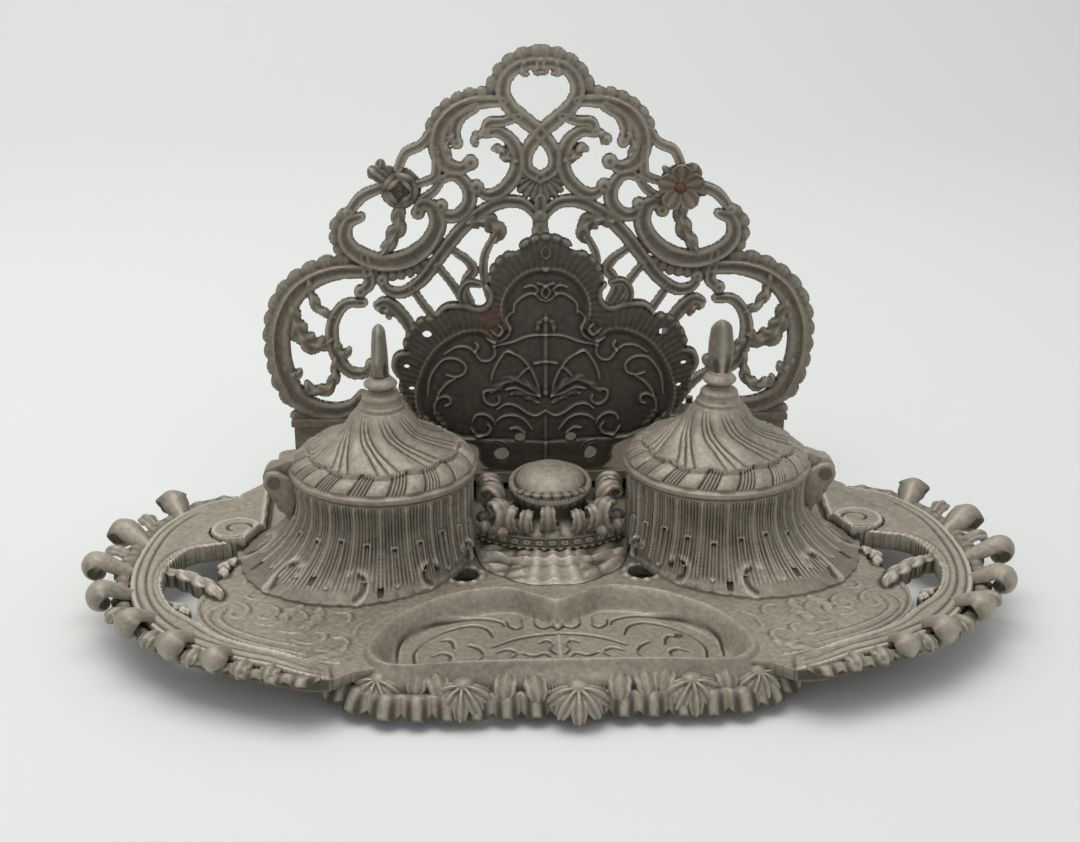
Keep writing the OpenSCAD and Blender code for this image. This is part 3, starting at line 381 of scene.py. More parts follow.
def inside_loops(at, a, b):
    """Even-odd test of points against loops given by their sides a to b: crossings to the right are
    counted."""
    rise = np.where(a[:, 1] == b[:, 1], 1, b[:, 1] - a[:, 1])
    parts = []
    for p in np.array_split(at, max(1, len(at) // 500)):
        x, y = p[:, :1], p[:, 1:]
        spans = (a[:, 1] > y) != (b[:, 1] > y)
        parts.append((spans & (x < a[:, 0] + (y - a[:, 1]) * (b[:, 0] - a[:, 0]) / rise)).sum(1) % 2 == 1)
    return np.concatenate(parts)


def border_edges(tri):
    """Directed edges that only one triangle uses."""
    e = np.vstack([tri[:, [0, 1]], tri[:, [1, 2]], tri[:, [2, 0]]])
    key = np.sort(e, 1)
    big = int(key.max()) + 1
    code = key[:, 0] * big + key[:, 1]
    _, first, count = np.unique(code, return_index=True, return_counts=True)
    return e[first[count == 1]]


def drop_pinches(tri):
    """Leaves out triangles at points where two parts of the rim meet, so that every rim is a plain loop."""
    for _ in range(6):
        rim = border_edges(tri)
        count = np.bincount(rim[:, 0], minlength=int(tri.max()) + 1)
        bad = np.nonzero(count > 1)[0]
        if not len(bad):
            break
        tri = tri[~np.isin(tri, bad).any(1)]
    return tri


def outwards(points, faces):
    """The faces, turned round if the volume they close is negative (sum of a . (b x c) over the
    triangles)."""
    a, b, c = (points[faces[:, k]] for k in range(3))
    volume = (a * np.cross(b, c)).sum()
    if faces.shape[1] == 4:
        volume += (a * np.cross(c, points[faces[:, 3]])).sum()
    return faces if volume > 0 else faces[:, ::-1]


def wrap_mesh(name, points, wear_and_shade=None, close_u=True, close_v=False, sharp=35, caps=False):
    """Surface over a grid of points (n, m, 3): closed round the first way and, if asked, the second.
    caps closes each open end with a fan round its mean point."""
    n, m = points.shape[:2]
    idx = np.arange(n * m).reshape(n, m)
    if close_u:
        idx = np.vstack([idx, idx[:1]])
    if close_v:
        idx = np.hstack([idx, idx[:, :1]])
    quads = np.stack([idx[:-1, :-1], idx[1:, :-1], idx[1:, 1:], idx[:-1, 1:]], -1).reshape(-1, 4)
    pts = points.reshape(-1, 3)
    if not caps:
        return make_mesh(name, pts, outwards(pts, quads) if close_v else quads, wear_and_shade, sharp)
    faces = np.vstack([quads[:, [0, 1, 2]], quads[:, [0, 2, 3]]])
    ring0, ring1 = idx[:, 0], idx[:, -1]
    ends = np.vstack([pts[ring0[:-1]].mean(0), pts[ring1[:-1]].mean(0)])
    k = n * m
    faces = np.vstack([faces,
                       np.stack([ring0[1:], ring0[:-1], np.full(len(ring0) - 1, k)], 1),
                       np.stack([ring1[:-1], ring1[1:], np.full(len(ring1) - 1, k + 1)], 1)])
    if wear_and_shade is not None:
        wear_and_shade = np.concatenate([np.asarray(wear_and_shade).ravel(), [0, 0]])
    pts = np.vstack([pts, ends])
    return make_mesh(name, pts, outwards(pts, faces), wear_and_shade, sharp)


def profile_lengths(r, z, n):
    """Points spread evenly along a profile line, with the outward normal at each."""
    r, z = np.asarray(r, float), np.asarray(z, float)
    s = np.concatenate([[0], np.cumsum(np.hypot(np.diff(r), np.diff(z)))])
    at = np.linspace(0, s[-1], n)
    rr, zz = np.interp(at, s, r), np.interp(at, s, z)
    tr, tz = np.gradient(rr), np.gradient(zz)
    size = np.maximum(np.hypot(tr, tz), 1e-9)
    return rr, zz, tz / size, -tr / size, at


# Letter rack plates

# Left half of the back plate: line, width at the ends, width in the middle, eye at the end
BACK_BANDS = [
    ([(0, 139.5), (-8, 138), (-13, 133.5), (-14, 128), (-11.5, 123), (-6.5, 118.5), (0, 113), (5, 106),
     (5, 99.5), (0, 96)], 4.6, 6.2, 0),
    ([(-14, 125), (-24.5, 124.5), (-33, 121), (-38, 114.5), (-39, 108), (-36.5, 102), (-31, 99.5),
     (-26.5, 102)], 4, 7.4, 3.1),
    ([(-24.5, 123), (-30, 119.5), (-32.5, 114), (-31.5, 109.5)], 4.5, 5, 2.4),
    ([(-8, 119.5), (-14, 117.5), (-19.5, 117), (-21, 113.5)], 3.2, 4.2, 2.2),
    ([(-20.5, 113), (-15.5, 113.5), (-10.5, 109.5), (-8.5, 103), (-10, 96.5), (-15, 91), (-20.5, 89.5),
     (-24.5, 92.5)], 3.5, 6, 3.1),
    ([(-37.5, 96), (-32, 97), (-27.5, 92), (-27.5, 86), (-32, 81.5), (-37, 82), (-38, 85.5)], 3.5, 5.8, 2.7),
    ([(0, 78), (-2.5, 82.5), (-7.5, 86.5), (-15.5, 86.5), (-24, 82), (-32, 74.5), (-39, 65.5), (-46, 56.5),
     (-53.5, 51.5), (-59.5, 52.5), (-61.5, 56.5)], 3.6, 5.6, 2.6),
    ([(-69, 81.5), (-74, 79), (-75, 72.5), (-70.5, 67), (-61.5, 63.5), (-51.5, 65), (-43.5, 70.5),
     (-39.5, 78), (-41, 84.5), (-45.5, 86.5), (-47, 83)], 4, 7.8, 2.8),
    ([(-41, 114), (-45, 109), (-51, 106), (-54, 100)], 3.6, 4, 0),
    ([(-40, 107), (-39.5, 102), (-40.5, 96.5), (-47, 94)], 3, 3.8, 0),
    ([(-60, 93), (-68, 89.5), (-73.5, 83)], 3.6, 4.6, 2.6),
    ([(-46, 88), (-41, 91), (-37, 96)], 2.6, 3.6, 0),
    ([(-67, 60), (-78, 60), (-88, 57), (-96, 50.5), (-101, 41), (-103, 31.5), (-102, 20.5), (-97.5, 9.5),
     (-90, 4), (-82, 2.6), (-75, 4.5), (-71, 9)], 5, 9.2, 2.2),
    ([(-68, 66), (-67, 60), (-66.5, 55), (-70, 52)], 4.2, 4.8, 2.7),
    ([(-69, 47.5), (-76, 47), (-80.5, 41.5), (-82, 34.5), (-80.5, 26), (-76, 19.5), (-70, 18.5), (-67, 22)],
     3.4, 5.4, 2.5),
    ([(-64, 46.5), (-60, 47.5), (-55, 43), (-51, 36.5), (-50, 29)], 3, 5.4, 0),
    ([(-70, 19), (-62, 14), (-56, 6), (-54, 0)], 3, 4, 0),
    ([(-40, 62), (-34, 54), (-29, 46), (-20, 38)], 3, 3.4, 0),
    ([(-50, 53), (-44, 44), (-36, 36), (-26, 30)], 3, 3.4, 0),
    ([(-18, 73), (-21.5, 66), (-22, 58), (-20, 48)], 2.6, 3.4, 0),
    ([(-34, 68), (-28.5, 64), (-26, 60), (-28.5, 56.5), (-29.5, 52), (-27, 47)], 2.8, 4.2, 0)]
# Leaves of the back plate: line, width, lobes
BACK_LEAVES = [
    ([(-28, 79), (-21, 79.5), (-16.5, 76), (-17.5, 71.5)], 7, 3),
    ([(-54.5, 86), (-54.5, 79), (-57, 73), (-61, 67)], 6.5, 3),
    ([(-97, 46), (-95.5, 38), (-92, 32), (-86, 30.5), (-82, 33)], 8, 4),
    ([(-90, 57), (-89, 50), (-86, 44.5), (-80.5, 42)], 4.2, 3),
    ([(-81, 25), (-82, 16), (-86, 11.5), (-92, 12.5), (-93, 15)], 5, 4),
    ([(-101, 22), (-97.5, 18), (-95.5, 20)], 4.5, 2),
    ([(-81, 31), (-77.5, 26.5), (-75.5, 29)], 4, 2),
    ([(-33, 113), (-36, 108), (-34, 104)], 4, 2),
    ([(-9, 102.5), (-12.5, 104), (-15, 107), (-18, 107)], 4.6, 3),
    ([(-6, 140), (-7, 136.5), (-4.5, 135)], 3.6, 2),
    ([(0, 141), (-1.5, 137), (0, 135.5)], 3.8, 2),
    ([(-64, 45), (-60, 44), (-59, 41)], 4, 2),
    ([(-22.5, 113), (-25, 111), (-24, 109)], 4.2, 2)]
# Shell edges: line, half width, pitch of the lobes
BACK_SHELLS = [
    ([(1, 142.8), (-6, 142.1), (-13, 138.3), (-17, 132.5), (-17.8, 129)], 2.7, 4.8),
    ([(-19.5, 128), (-28, 127), (-35.5, 123), (-40.5, 116.5), (-42.3, 109.5)], 2.5, 4.6),
    ([(-73.5, 83.5), (-78, 79), (-78.6, 72.5), (-76, 67)], 2.5, 4.4),
    ([(-73, 63.5), (-80, 63.7), (-88, 61.3), (-97, 55.5), (-103, 47), (-105.6, 37), (-105.4, 26),
     (-103.5, 15.5), (-99, 6.5)], 3, 6.6),
    ([(-66, 59.8), (-58, 58.6), (-50, 60), (-43, 63.5)], 2.2, 3.6)]


def back_plate_field():
    """The pierced plate drawn flat: bands, leaves and shell edges joined on one grid."""
    f = Relief(-110, 110, -1, 147.5, 0.58)
    for side in (1, -1):
        turn = as_drawn if side > 0 else mirrored
        for line, w, pitch in BACK_SHELLS:
            f.shell(turn(line), w, pitch, top=0.85)
        for line, w0, w1, eye in BACK_BANDS:
            f.band(turn(line), w0, w1, top=1.25, eye=eye)
        for line, w, lobes in BACK_LEAVES:
            f.leaf(turn(line), w, lobes, top=1.35)
        f.knob((side * FLOWER_X, FLOWER_Z), 8, top=0.3, hollow=0)
        f.knob((side * 58, 97), 4, top=0.3, hollow=0)
        f.band([(side * 98, 1), (side * 50, 1), (0, 1)], 4.4, 4.4, top=0.7, trough=0)
        f.line_on(turn([(-15, 127), (-24, 127), (-33.5, 123), (-39.5, 116), (-41, 108)]), 0.7, 0.35)
        f.line_on(turn([(-68, 62.5), (-79, 62), (-89.5, 58.5), (-98, 51.5), (-103.2, 41), (-104.8, 31),
                        (-103.8, 20), (-99.5, 9)]), 0.8, 0.4)
        f.line_on(turn([(-77, 78), (-77, 71.5), (-72, 65), (-61.5, 61), (-50, 62.3), (-42, 68.5),
                        (-37.8, 77)]), 0.7, 0.35)
    f.fan((0, 98), 11.6, 196, 344, 9, 1.0)
    f.fan((0, 135.5), 10.4, 28, 152, 9, 0.7)
    f.band([(0, 88), (0, 80), (0, 60)], 4.4, 6, top=1.1)
    for z, r in ((81, 3.2), (77.5, 2.2), (75, 3.4)):
        f.knob((0, z), r, top=1.7, hollow=0)
    hidden = f.polygon_edge([(-3, 76), (-4, 42), (-30, 34), (-40, 20), (-44, 2), (44, 2), (40, 20),
                             (30, 34), (4, 42), (3, 76)])
    f.add((slice(None), slice(None)), hidden, np.full(f.U.shape, 0.1))
    f.edge = np.maximum(f.edge, np.where(f.V < 0, -f.V, -1))
    f.height = np.maximum(f.height, 0)
    return f


FRONT_HALF = [(0, 89), (-5, 88), (-9, 85.2), (-13, 83.4), (-17, 80), (-19.6, 75.5), (-19.6, 70),
              (-19.4, 65.5), (-22, 62.6), (-27, 62.8), (-32, 64), (-37, 62.6), (-40, 59.8), (-44, 59.6),
              (-48, 56.5), (-50.6, 52), (-51, 47.5), (-54, 45.6), (-55.2, 41), (-54.2, 36.5), (-53, 33.5),
              (-51, 28.5), (-46, 21.5), (-39, 16), (-31, 12.5), (-25.5, 9.5), (-25, 4.5), (-21, 1),
              (-14, 0), (0, 0)]
# Inner edge of the shell border: the upper arch and the side arch
FRONT_INNER = [(-13.5, 56), (-15.4, 61), (-15, 67), (-11.5, 73.2), (-6, 77), (0, 78)]
FRONT_SIDE = [(-46, 21), (-47.6, 28), (-47, 35), (-44, 43), (-38.5, 50), (-31, 54.3), (-24.5, 55),
              (-20.6, 52.5), (-19, 49.5)]
# Raised lines of the front plate's left half
FRONT_LINES = [
    [(-41.6, 23), (-41.2, 27.5), (-38.5, 30), (-36, 29.5), (-35.6, 27.3), (-37.6, 26.3)],
    [(-44, 30), (-43.2, 36.5), (-41, 41), (-37.5, 44.5), (-33, 44.6), (-29.8, 42), (-30.2, 39),
     (-33.5, 37.6), (-37, 38.6)],
    [(-40.8, 29), (-39, 32.5), (-36.2, 35.5), (-33.6, 37)],
    [(-37.6, 46.4), (-33.5, 49), (-29.6, 49.3), (-26.6, 47.5), (-24, 44), (-21, 43.8), (-18.8, 46),
     (-19.2, 49.5)],
    [(-26, 51), (-25, 49.2), (-26.4, 46.8)],
    [(-19, 49.5), (-12.5, 50.8), (-6.5, 53), (0, 53.5)],
    [(-20.3, 36), (-18.6, 41.5), (-14.4, 47.4), (-11, 46)],
    [(-14.4, 47.4), (-9.5, 45), (-6, 41), (-3.6, 36), (-2, 30)],
    [(-4.6, 42.3), (0, 43.3)],
    [(-10.6, 36.5), (-8, 39.5), (-6.4, 40.8)],
    [(-2, 29.5), (-7, 33.8), (-12, 36), (-17, 34), (-19.5, 31.5)],
    [(-2, 29.5), (-7, 31), (-11, 33), (-15, 32.4)],
    [(-19.5, 32.5), (-23, 31.5), (-22.6, 28), (-19.8, 26.3), (-17.2, 27.6), (-17.6, 30)],
    [(0, 24), (-3.5, 22), (-7, 23.2), (-11, 26), (-15, 26.6), (-18.4, 24.4)],
    [(-27.5, 20), (-26, 22.4), (-23, 22.8), (-20, 20.8), (-19, 18.5)],
    [(-18.6, 20), (-15.6, 22), (-11.6, 22.2), (-8, 20.4), (-5, 16.4)],
    [(-13.6, 16.8), (-10.6, 17.2), (-7.6, 14.8)],
    [(-28, 17.4), (-26, 14.6), (-22.4, 14.5), (-20.6, 17), (-22, 19)],
    [(-32, 14), (-27.5, 13.6), (-23.5, 14.6)],
    [(-11.6, 61.5), (-11.4, 65), (-8.4, 68), (-4.6, 69.2), (-2, 67), (0, 66.3)],
    [(-8, 71.4), (-5, 72.2), (-2.8, 70.4), (-4.4, 68.8)],
    [(-3.4, 73), (0, 71.8), (1.6, 69.2), (0, 67.2)],
    [(-20.5, 55.8), (-17.6, 53.5), (-16, 55.6), (-17.6, 57.6)],
    [(-22, 52.4), (-18.5, 50.8), (-14.4, 52.8), (-13, 56.2), (-14.4, 59.6), (-12, 62.5)]]
FRONT_HOLES = [(-43.6, 54, 1.8), (-51.4, 41.8, 1.2), (-49.8, 33.2, 1.2), (-9.6, 13, 2.1), (-16.6, 6.6, 3)]


def front_plate_field():
    """The solid plate drawn flat: a raised shell border with fine ribs across it, a sunken panel, raised
    lines."""
    f = Relief(-57.5, 57.5, -1, 91, 0.36)
    half = smooth(FRONT_HALF, 5)[:, :2]
    loop = np.vstack([half, (half * [-1, 1])[::-1]])
    f.edge = f.polygon_edge(loop)
    near = np.full(f.U.shape, 1e3)
    run = np.zeros(f.U.shape)
    for line in (FRONT_INNER, mirrored(FRONT_INNER), FRONT_SIDE, mirrored(FRONT_SIDE)):
        line = smooth(line, 6)
        win, _, dist, _, along, *_ = f.near(line, np.full(len(line), 0.1), 14)
        better = dist < near[win]
        near[win] = np.where(better, dist, near[win])
        run[win] = np.where(better, along, run[win])
    inner = np.vstack([smooth(FRONT_SIDE, 5), smooth(FRONT_INNER, 5)])
    inner = np.vstack([[(-46, 21), (-30, 14)][::-1], inner])
    loop_in = np.vstack([inner, (inner * [-1, 1])[::-1], [(0, 12)]])
    gap = f.polygon_edge(loop_in)
    border = ease(gap / 0.8)
    depth = np.clip(-f.edge, 0, 9)
    ribs = 0.5 + 0.5 * np.cos(2 * np.pi * run / 1.9)
    lobe = 0.5 + 0.5 * np.cos(2 * np.pi * run / 7.6)
    shell = 0.55 + 0.3 * np.sin(np.pi * np.clip(depth / 7, 0, 1)) + 0.16 * ribs
    shell = shell + 0.2 * lobe * ease(1 - depth / 4)
    f.height = np.where(f.edge < f.step, 0.1 + border * shell, 0)
    for side in (1, -1):
        turn = as_drawn if side > 0 else mirrored
        f.line_on(turn(FRONT_INNER), 1.7, 0.75, taper=False)
        f.line_on(turn(FRONT_SIDE), 1.7, 0.75, taper=False)
        for line in FRONT_LINES:
            f.line_on(turn(line), 1.05, 0.75)
        f.leaf(turn([(-2, 30), (-7, 34.6), (-12.6, 36.4), (-18, 33.4), (-20.5, 31.4)]), 3.4, 4, top=0.75)
        f.leaf(turn([(-2.4, 27), (-6, 29), (-10, 31), (-13, 30.6)]), 2.6, 3, top=0.7)
        f.leaf(turn([(0, 60), (-2.6, 57.5), (-3, 54.5)]), 2.4, 3, top=0.7)
        f.leaf(turn([(-41.4, 24), (-40, 20.5), (-37, 17.5)]), 3, 3, top=0.6)
        f.band(turn([(-24, 72.5), (-28, 73), (-30.6, 70), (-30.4, 66.4), (-27.5, 64)]), 2.4, 3.2, top=0.9)
        f.band(turn([(-21.6, 72), (-19.8, 69.5), (-20.4, 65.4), (-24, 63), (-30, 64.6), (-36, 64.6),
                     (-39.4, 62)]), 1.8, 2.4, top=1.2, trough=0)
        f.band(turn([(-50.5, 47), (-54.6, 46), (-56, 42), (-54.6, 38.5)]), 1.8, 2.4, top=1.2, trough=0)
        f.shell(turn([(-12, 83.6), (-16, 81.4), (-19, 77.4), (-19.9, 73)]), 1.5, 3.4, top=1)
        f.shell(turn([(-41, 59.6), (-46, 58.4), (-50, 53.4), (-51.4, 49)]), 1.5, 3.4, top=1)
        f.shell(turn([(-53.6, 35), (-51.8, 30), (-47.6, 23.6), (-41, 17.4)]), 1.4, 3.4, top=1)
        f.band(turn([(-24.6, 9), (-20, 11.8), (-15.4, 10.6), (-13.4, 6.4), (-15, 2.6), (-19, 1.6)]), 1.8, 2.6,
               top=1.1, eye=1.5)
        for u, v, r in FRONT_HOLES:
            f.disc_cut((side * abs(u), v), r)
    f.line_on([(0, 30), (0, 45), (0, 61)], 1.9, 0.7)
    f.line_on([(0, 21.5), (0, 14), (0, 4)], 1.2, 0.5)
    f.knob((0, 31), 1.3, top=0.9, hollow=0)
    f.band(closed_line([(0, 86.6), (1.6, 84.4), (0, 82.2), (-1.6, 84.4)]), 0.7, 0.7, top=1.3, trough=0)
    f.shell([(-9, 86.6), (-4.6, 89), (0, 89.8), (4.6, 89), (9, 86.6)], 1.2, 4, top=1.1)
    f.height = np.minimum(f.height, 1.5)
    f.edge = np.maximum(f.edge, np.where(f.V < 0, -f.V, -1))
    return f


def make_plates():
    """The two plates of the rack, each drawn flat and stood up at its place."""
    back = sheet_mesh(
        "back_scrollwork", back_plate_field(),
        lambda u, v, h: np.stack([u * BACK_WIDE, BACK_PLATE_Y + 1.75 - h, RISER_TOP + v], -1), -1.7)
    front = sheet_mesh(
        "front_cartouche", front_plate_field(),
        lambda u, v, h: np.stack([u * FRONT_WIDE, FRONT_PLATE_Y + 0.4 - h, RACK_FLOOR + v], -1), -2.5)
    return back, front


# Wells and lids

def flare(a, t):
    """Radius of a housing at angle a and height share t: a lobed foot that draws in to the round neck."""
    foot = 31 + 21 * ((1 + np.cos(a + math.radians(35))) / 2) ** 2
    return NECK_R + (foot - NECK_R) * (1 - t) ** 2.4


def make_housing(side):
    """Flaring fluted housing. The radius is the flare plus ribs, beads, loops and scrolls laid over angle and
    height, each a smooth bump of the distance to its line."""
    (n, m), up = HOUSING_GRID, NECK_ROWS
    a = round_angles(n)
    t = np.concatenate([np.linspace(0, 1, m) ** 1.15, np.linspace(1.02, 1.22, up)])
    A, T = np.meshgrid(a, t, indexing="ij")
    r = flare(A, np.minimum(T, 1))
    phase = A * HOUSING_RIBS / (2 * np.pi)
    k = np.round(phase)
    off = (phase - k) * 2 * np.pi * r / HOUSING_RIBS
    beaded = np.abs(k) % 2 > 0
    beads = 0.5 + 0.5 * np.abs(np.sin(T * 62))
    rib = np.where(beaded, bump(off, 0, 0.62) * (0.3 + 0.7 * beads), 0) * ease((T - 0.1) / 0.05)
    loop_top = 0.6 + 0.05 * np.sin(k * 2.3)
    loop_low = 0.2 + 0.05 * np.sin(k * 1.7 + 1)
    q = np.abs(off)
    eye = np.hypot(off, (T - loop_top) * 26)
    cup = np.hypot(off, (T - loop_low) * 26)
    loop = np.where(T > loop_top, bump(eye, 1.2, 0.36),
                    np.where(T < loop_low, bump(cup, 1.0, 0.34), bump(q, 1.0, 0.34)))
    pit = bump(eye, 0, 0.65)
    stem = bump(off, 0, 0.45) * ease((T - loop_top - 0.07) / 0.03)
    loops = np.where(beaded, 0, 0.85 * loop - 0.7 * pit + 0.55 * stem)
    lines = 0.3 * np.cos(2 * np.pi * phase * 4) * ease((T - 0.06) / 0.1)
    lines = lines * (0.75 + 0.25 * np.sin(A * 7 + T * 9))
    slot_at = 0.13 + 0.05 * np.sin(A * 5)
    slots = np.where(beaded & (k % 4 == 1), np.exp(-(off / 0.8) ** 4 - ((T - slot_at) / 0.04) ** 4), 0)
    fade = ease((T - 0.03) / 0.07) * ease((1.21 - T) / 0.05)
    height = (rib + loops + lines) * fade - 1.8 * slots * ease((r - 31) / 6)
    # Ribs and loops are lighter as worn edges; the whole housing is set 0.22 darker as painted shade of its
    # skirt, and the slots, pits and line grooves darker still as painted shade.
    wear_and_shade = (rib + loops) * 0.65 + lines * 1.1 - 0.22 - 2.0 * slots
    # Foot scrolls and tongues, drawn over the unrolled angle (degrees) and height share
    for centre, lean in ((-152, 1), (-118, -1), (-78, 1), (-44, -1), (-8, 1), (24, -1), (75, 1)):
        da = (np.degrees(A) - centre + 180) % 360 - 180
        x = da / 180 * np.pi * r
        y = T * 24 - 3.6
        ring_at = np.hypot(x / 1.1, y)
        opening = ease((np.cos(np.arctan2(y, x * lean)) + 0.35) / 0.5)
        ring = bump(ring_at, 4.2, 0.75) * (1 - 0.9 * opening)
        hook = bump(np.hypot(x - lean * 2.6, y - 3.2), 0, 0.95)
        trench = bump(ring_at, 2.7, 0.5) * (1 - opening)
        keep = ease((6.2 - np.abs(y)) / 2) * (T < 0.5)
        height = height + keep * (1.1 * ring + 0.9 * hook - 0.5 * trench)
        # Painted shade in the scrolls' trenches; rings and hooks lighter as worn edges.
        wear_and_shade = wear_and_shade + keep * (0.6 * ring + 0.5 * hook - 0.6 * trench)
    foot_leaf = np.abs(np.sin(A * 22)) ** 0.6 * ease((0.07 - T) / 0.05)
    height = height + 0.7 * foot_leaf
    r = np.where(T > 1, np.minimum(r + 0.5 * ease((T - 1) / 0.2) + 0.9 * height, 31.6), r + height)
    z = TRAY_TOP + 1 + T * (WELL_TOP - 6 - TRAY_TOP - 1)
    # Neck, its top, the inside wall and the foot, round the same angles
    neck = [(31.5, 43.6), (31.6, 44.2), (31.3, WELL_TOP), (28.6, WELL_TOP), (28.3, 44.1), (28.3, 41.2),
            (28.1, 38.4)]
    rings = [np.stack([np.full(n, ring_r), np.full(n, ring_z)], -1) for ring_r, ring_z in neck]
    body = np.stack([r, z], -1)
    foot = np.stack([r[:, 0], np.full(n, TRAY_TOP + 0.05)], -1)[:, None]
    inside = []
    for s in (0.9, 0.6, 0.3, 0.1, 0):
        level = TRAY_TOP + 0.05 if s == 0 else TRAY_TOP + 1 + 22.4 * s
        inside.append(np.stack([flare(a, s) - 2.4, np.full(n, level)], -1))
    section = np.concatenate([foot, body, np.stack(rings, 1), np.stack(inside, 1)], 1)
    points = np.stack([section[..., 0] * np.cos(a)[:, None] * side + side * WELL_X,
                       section[..., 0] * np.sin(a)[:, None] + WELL_Y, section[..., 1]], -1)
    w = np.zeros(section.shape[:2])
    w[:, 1:1 + m + up] = np.clip(wear_and_shade, -1, 1)
    if side < 0:
        points, w = points[::-1], w[::-1]
    name = "fluted_housing_left" if side < 0 else "fluted_housing_right"
    shell = wrap_mesh(name, points, w, close_v=True)
    return [shell, make_ear(name + "_ear_rear", side, 3.5), make_ear(name + "_ear_front", side, -6.5)]


def lofted(name, line, side, sections):
    """An outline in (x from the well's axis, z) carried across its thickness. Each section is the place
    along y and the size of the outline there over its full size."""
    middle = line.mean(0)
    rings = []
    for y, size in sections:
        p = middle + (line - middle) * size
        rings.append(np.stack([side * (WELL_X + p[:, 0]), np.full(len(p), WELL_Y + y), p[:, 1]], -1))
    return wrap_mesh(name, np.stack(rings, 1), caps=True, sharp=50)


def make_ear(name, side, y0):
    """Hinge ear: a rounded plate with a leaf edge, its outline lofted across its thickness."""
    x, z = HINGE_OUT, HINGE_Z
    line = closed([(x + 3.7, z + 0.3), (x + 2.3, z + 3.0), (x - 1, z + 3.4), (x - 4, z + 1.9),
                   (30.4, z + 0.4), (29.8, z - 4), (30.4, z - 8.6), (31.8, z - 13), (33, z - 14.6),
                   (34.6, z - 12), (36.4, z - 10.6), (37.4, z - 8), (38.6, z - 6.4), (39.4, z - 4.4),
                   (40.9, z - 2)], 5)
    sections = ((0, 0.02), (0, 0.9), (0.25, 0.97), (0.6, 1), (2.4, 1), (2.75, 0.97), (3, 0.9), (3, 0.02))
    return lofted(name, line, side, [(y0 + y, size) for y, size in sections])


# Section of a lid over its rim plane: outside from the finial's seat to the rim, then the hollow inside
LID_OUTSIDE = [(6.7, 26.4), (7.0, 25.2), (8.0, 23.6), (9.6, 21.3), (11.0, 18.7), (12.2, 16.6), (14, 14.5),
               (17, 12.4), (20.5, 10.5), (24, 8.8), (27, 7.2), (28.8, 6.1), (30.2, 4.9), (31.2, 3.6),
               (31.7, 2.8), (32.7, 2.2), (32.95, 1.4), (32.8, 0.7), (32.2, 0.1), (31.2, 0)]
LID_INSIDE = [(29.4, 0), (29.4, 2.6), (28.4, 3.8), (27.2, 4.9), (25.6, 5.9), (23, 7.2), (19.6, 8.9),
              (15.8, 11), (12.6, 13.4), (10.4, 16), (9, 18.6), (7.9, 20.8), (2.12, 20.8), (2.12, 26.4)]


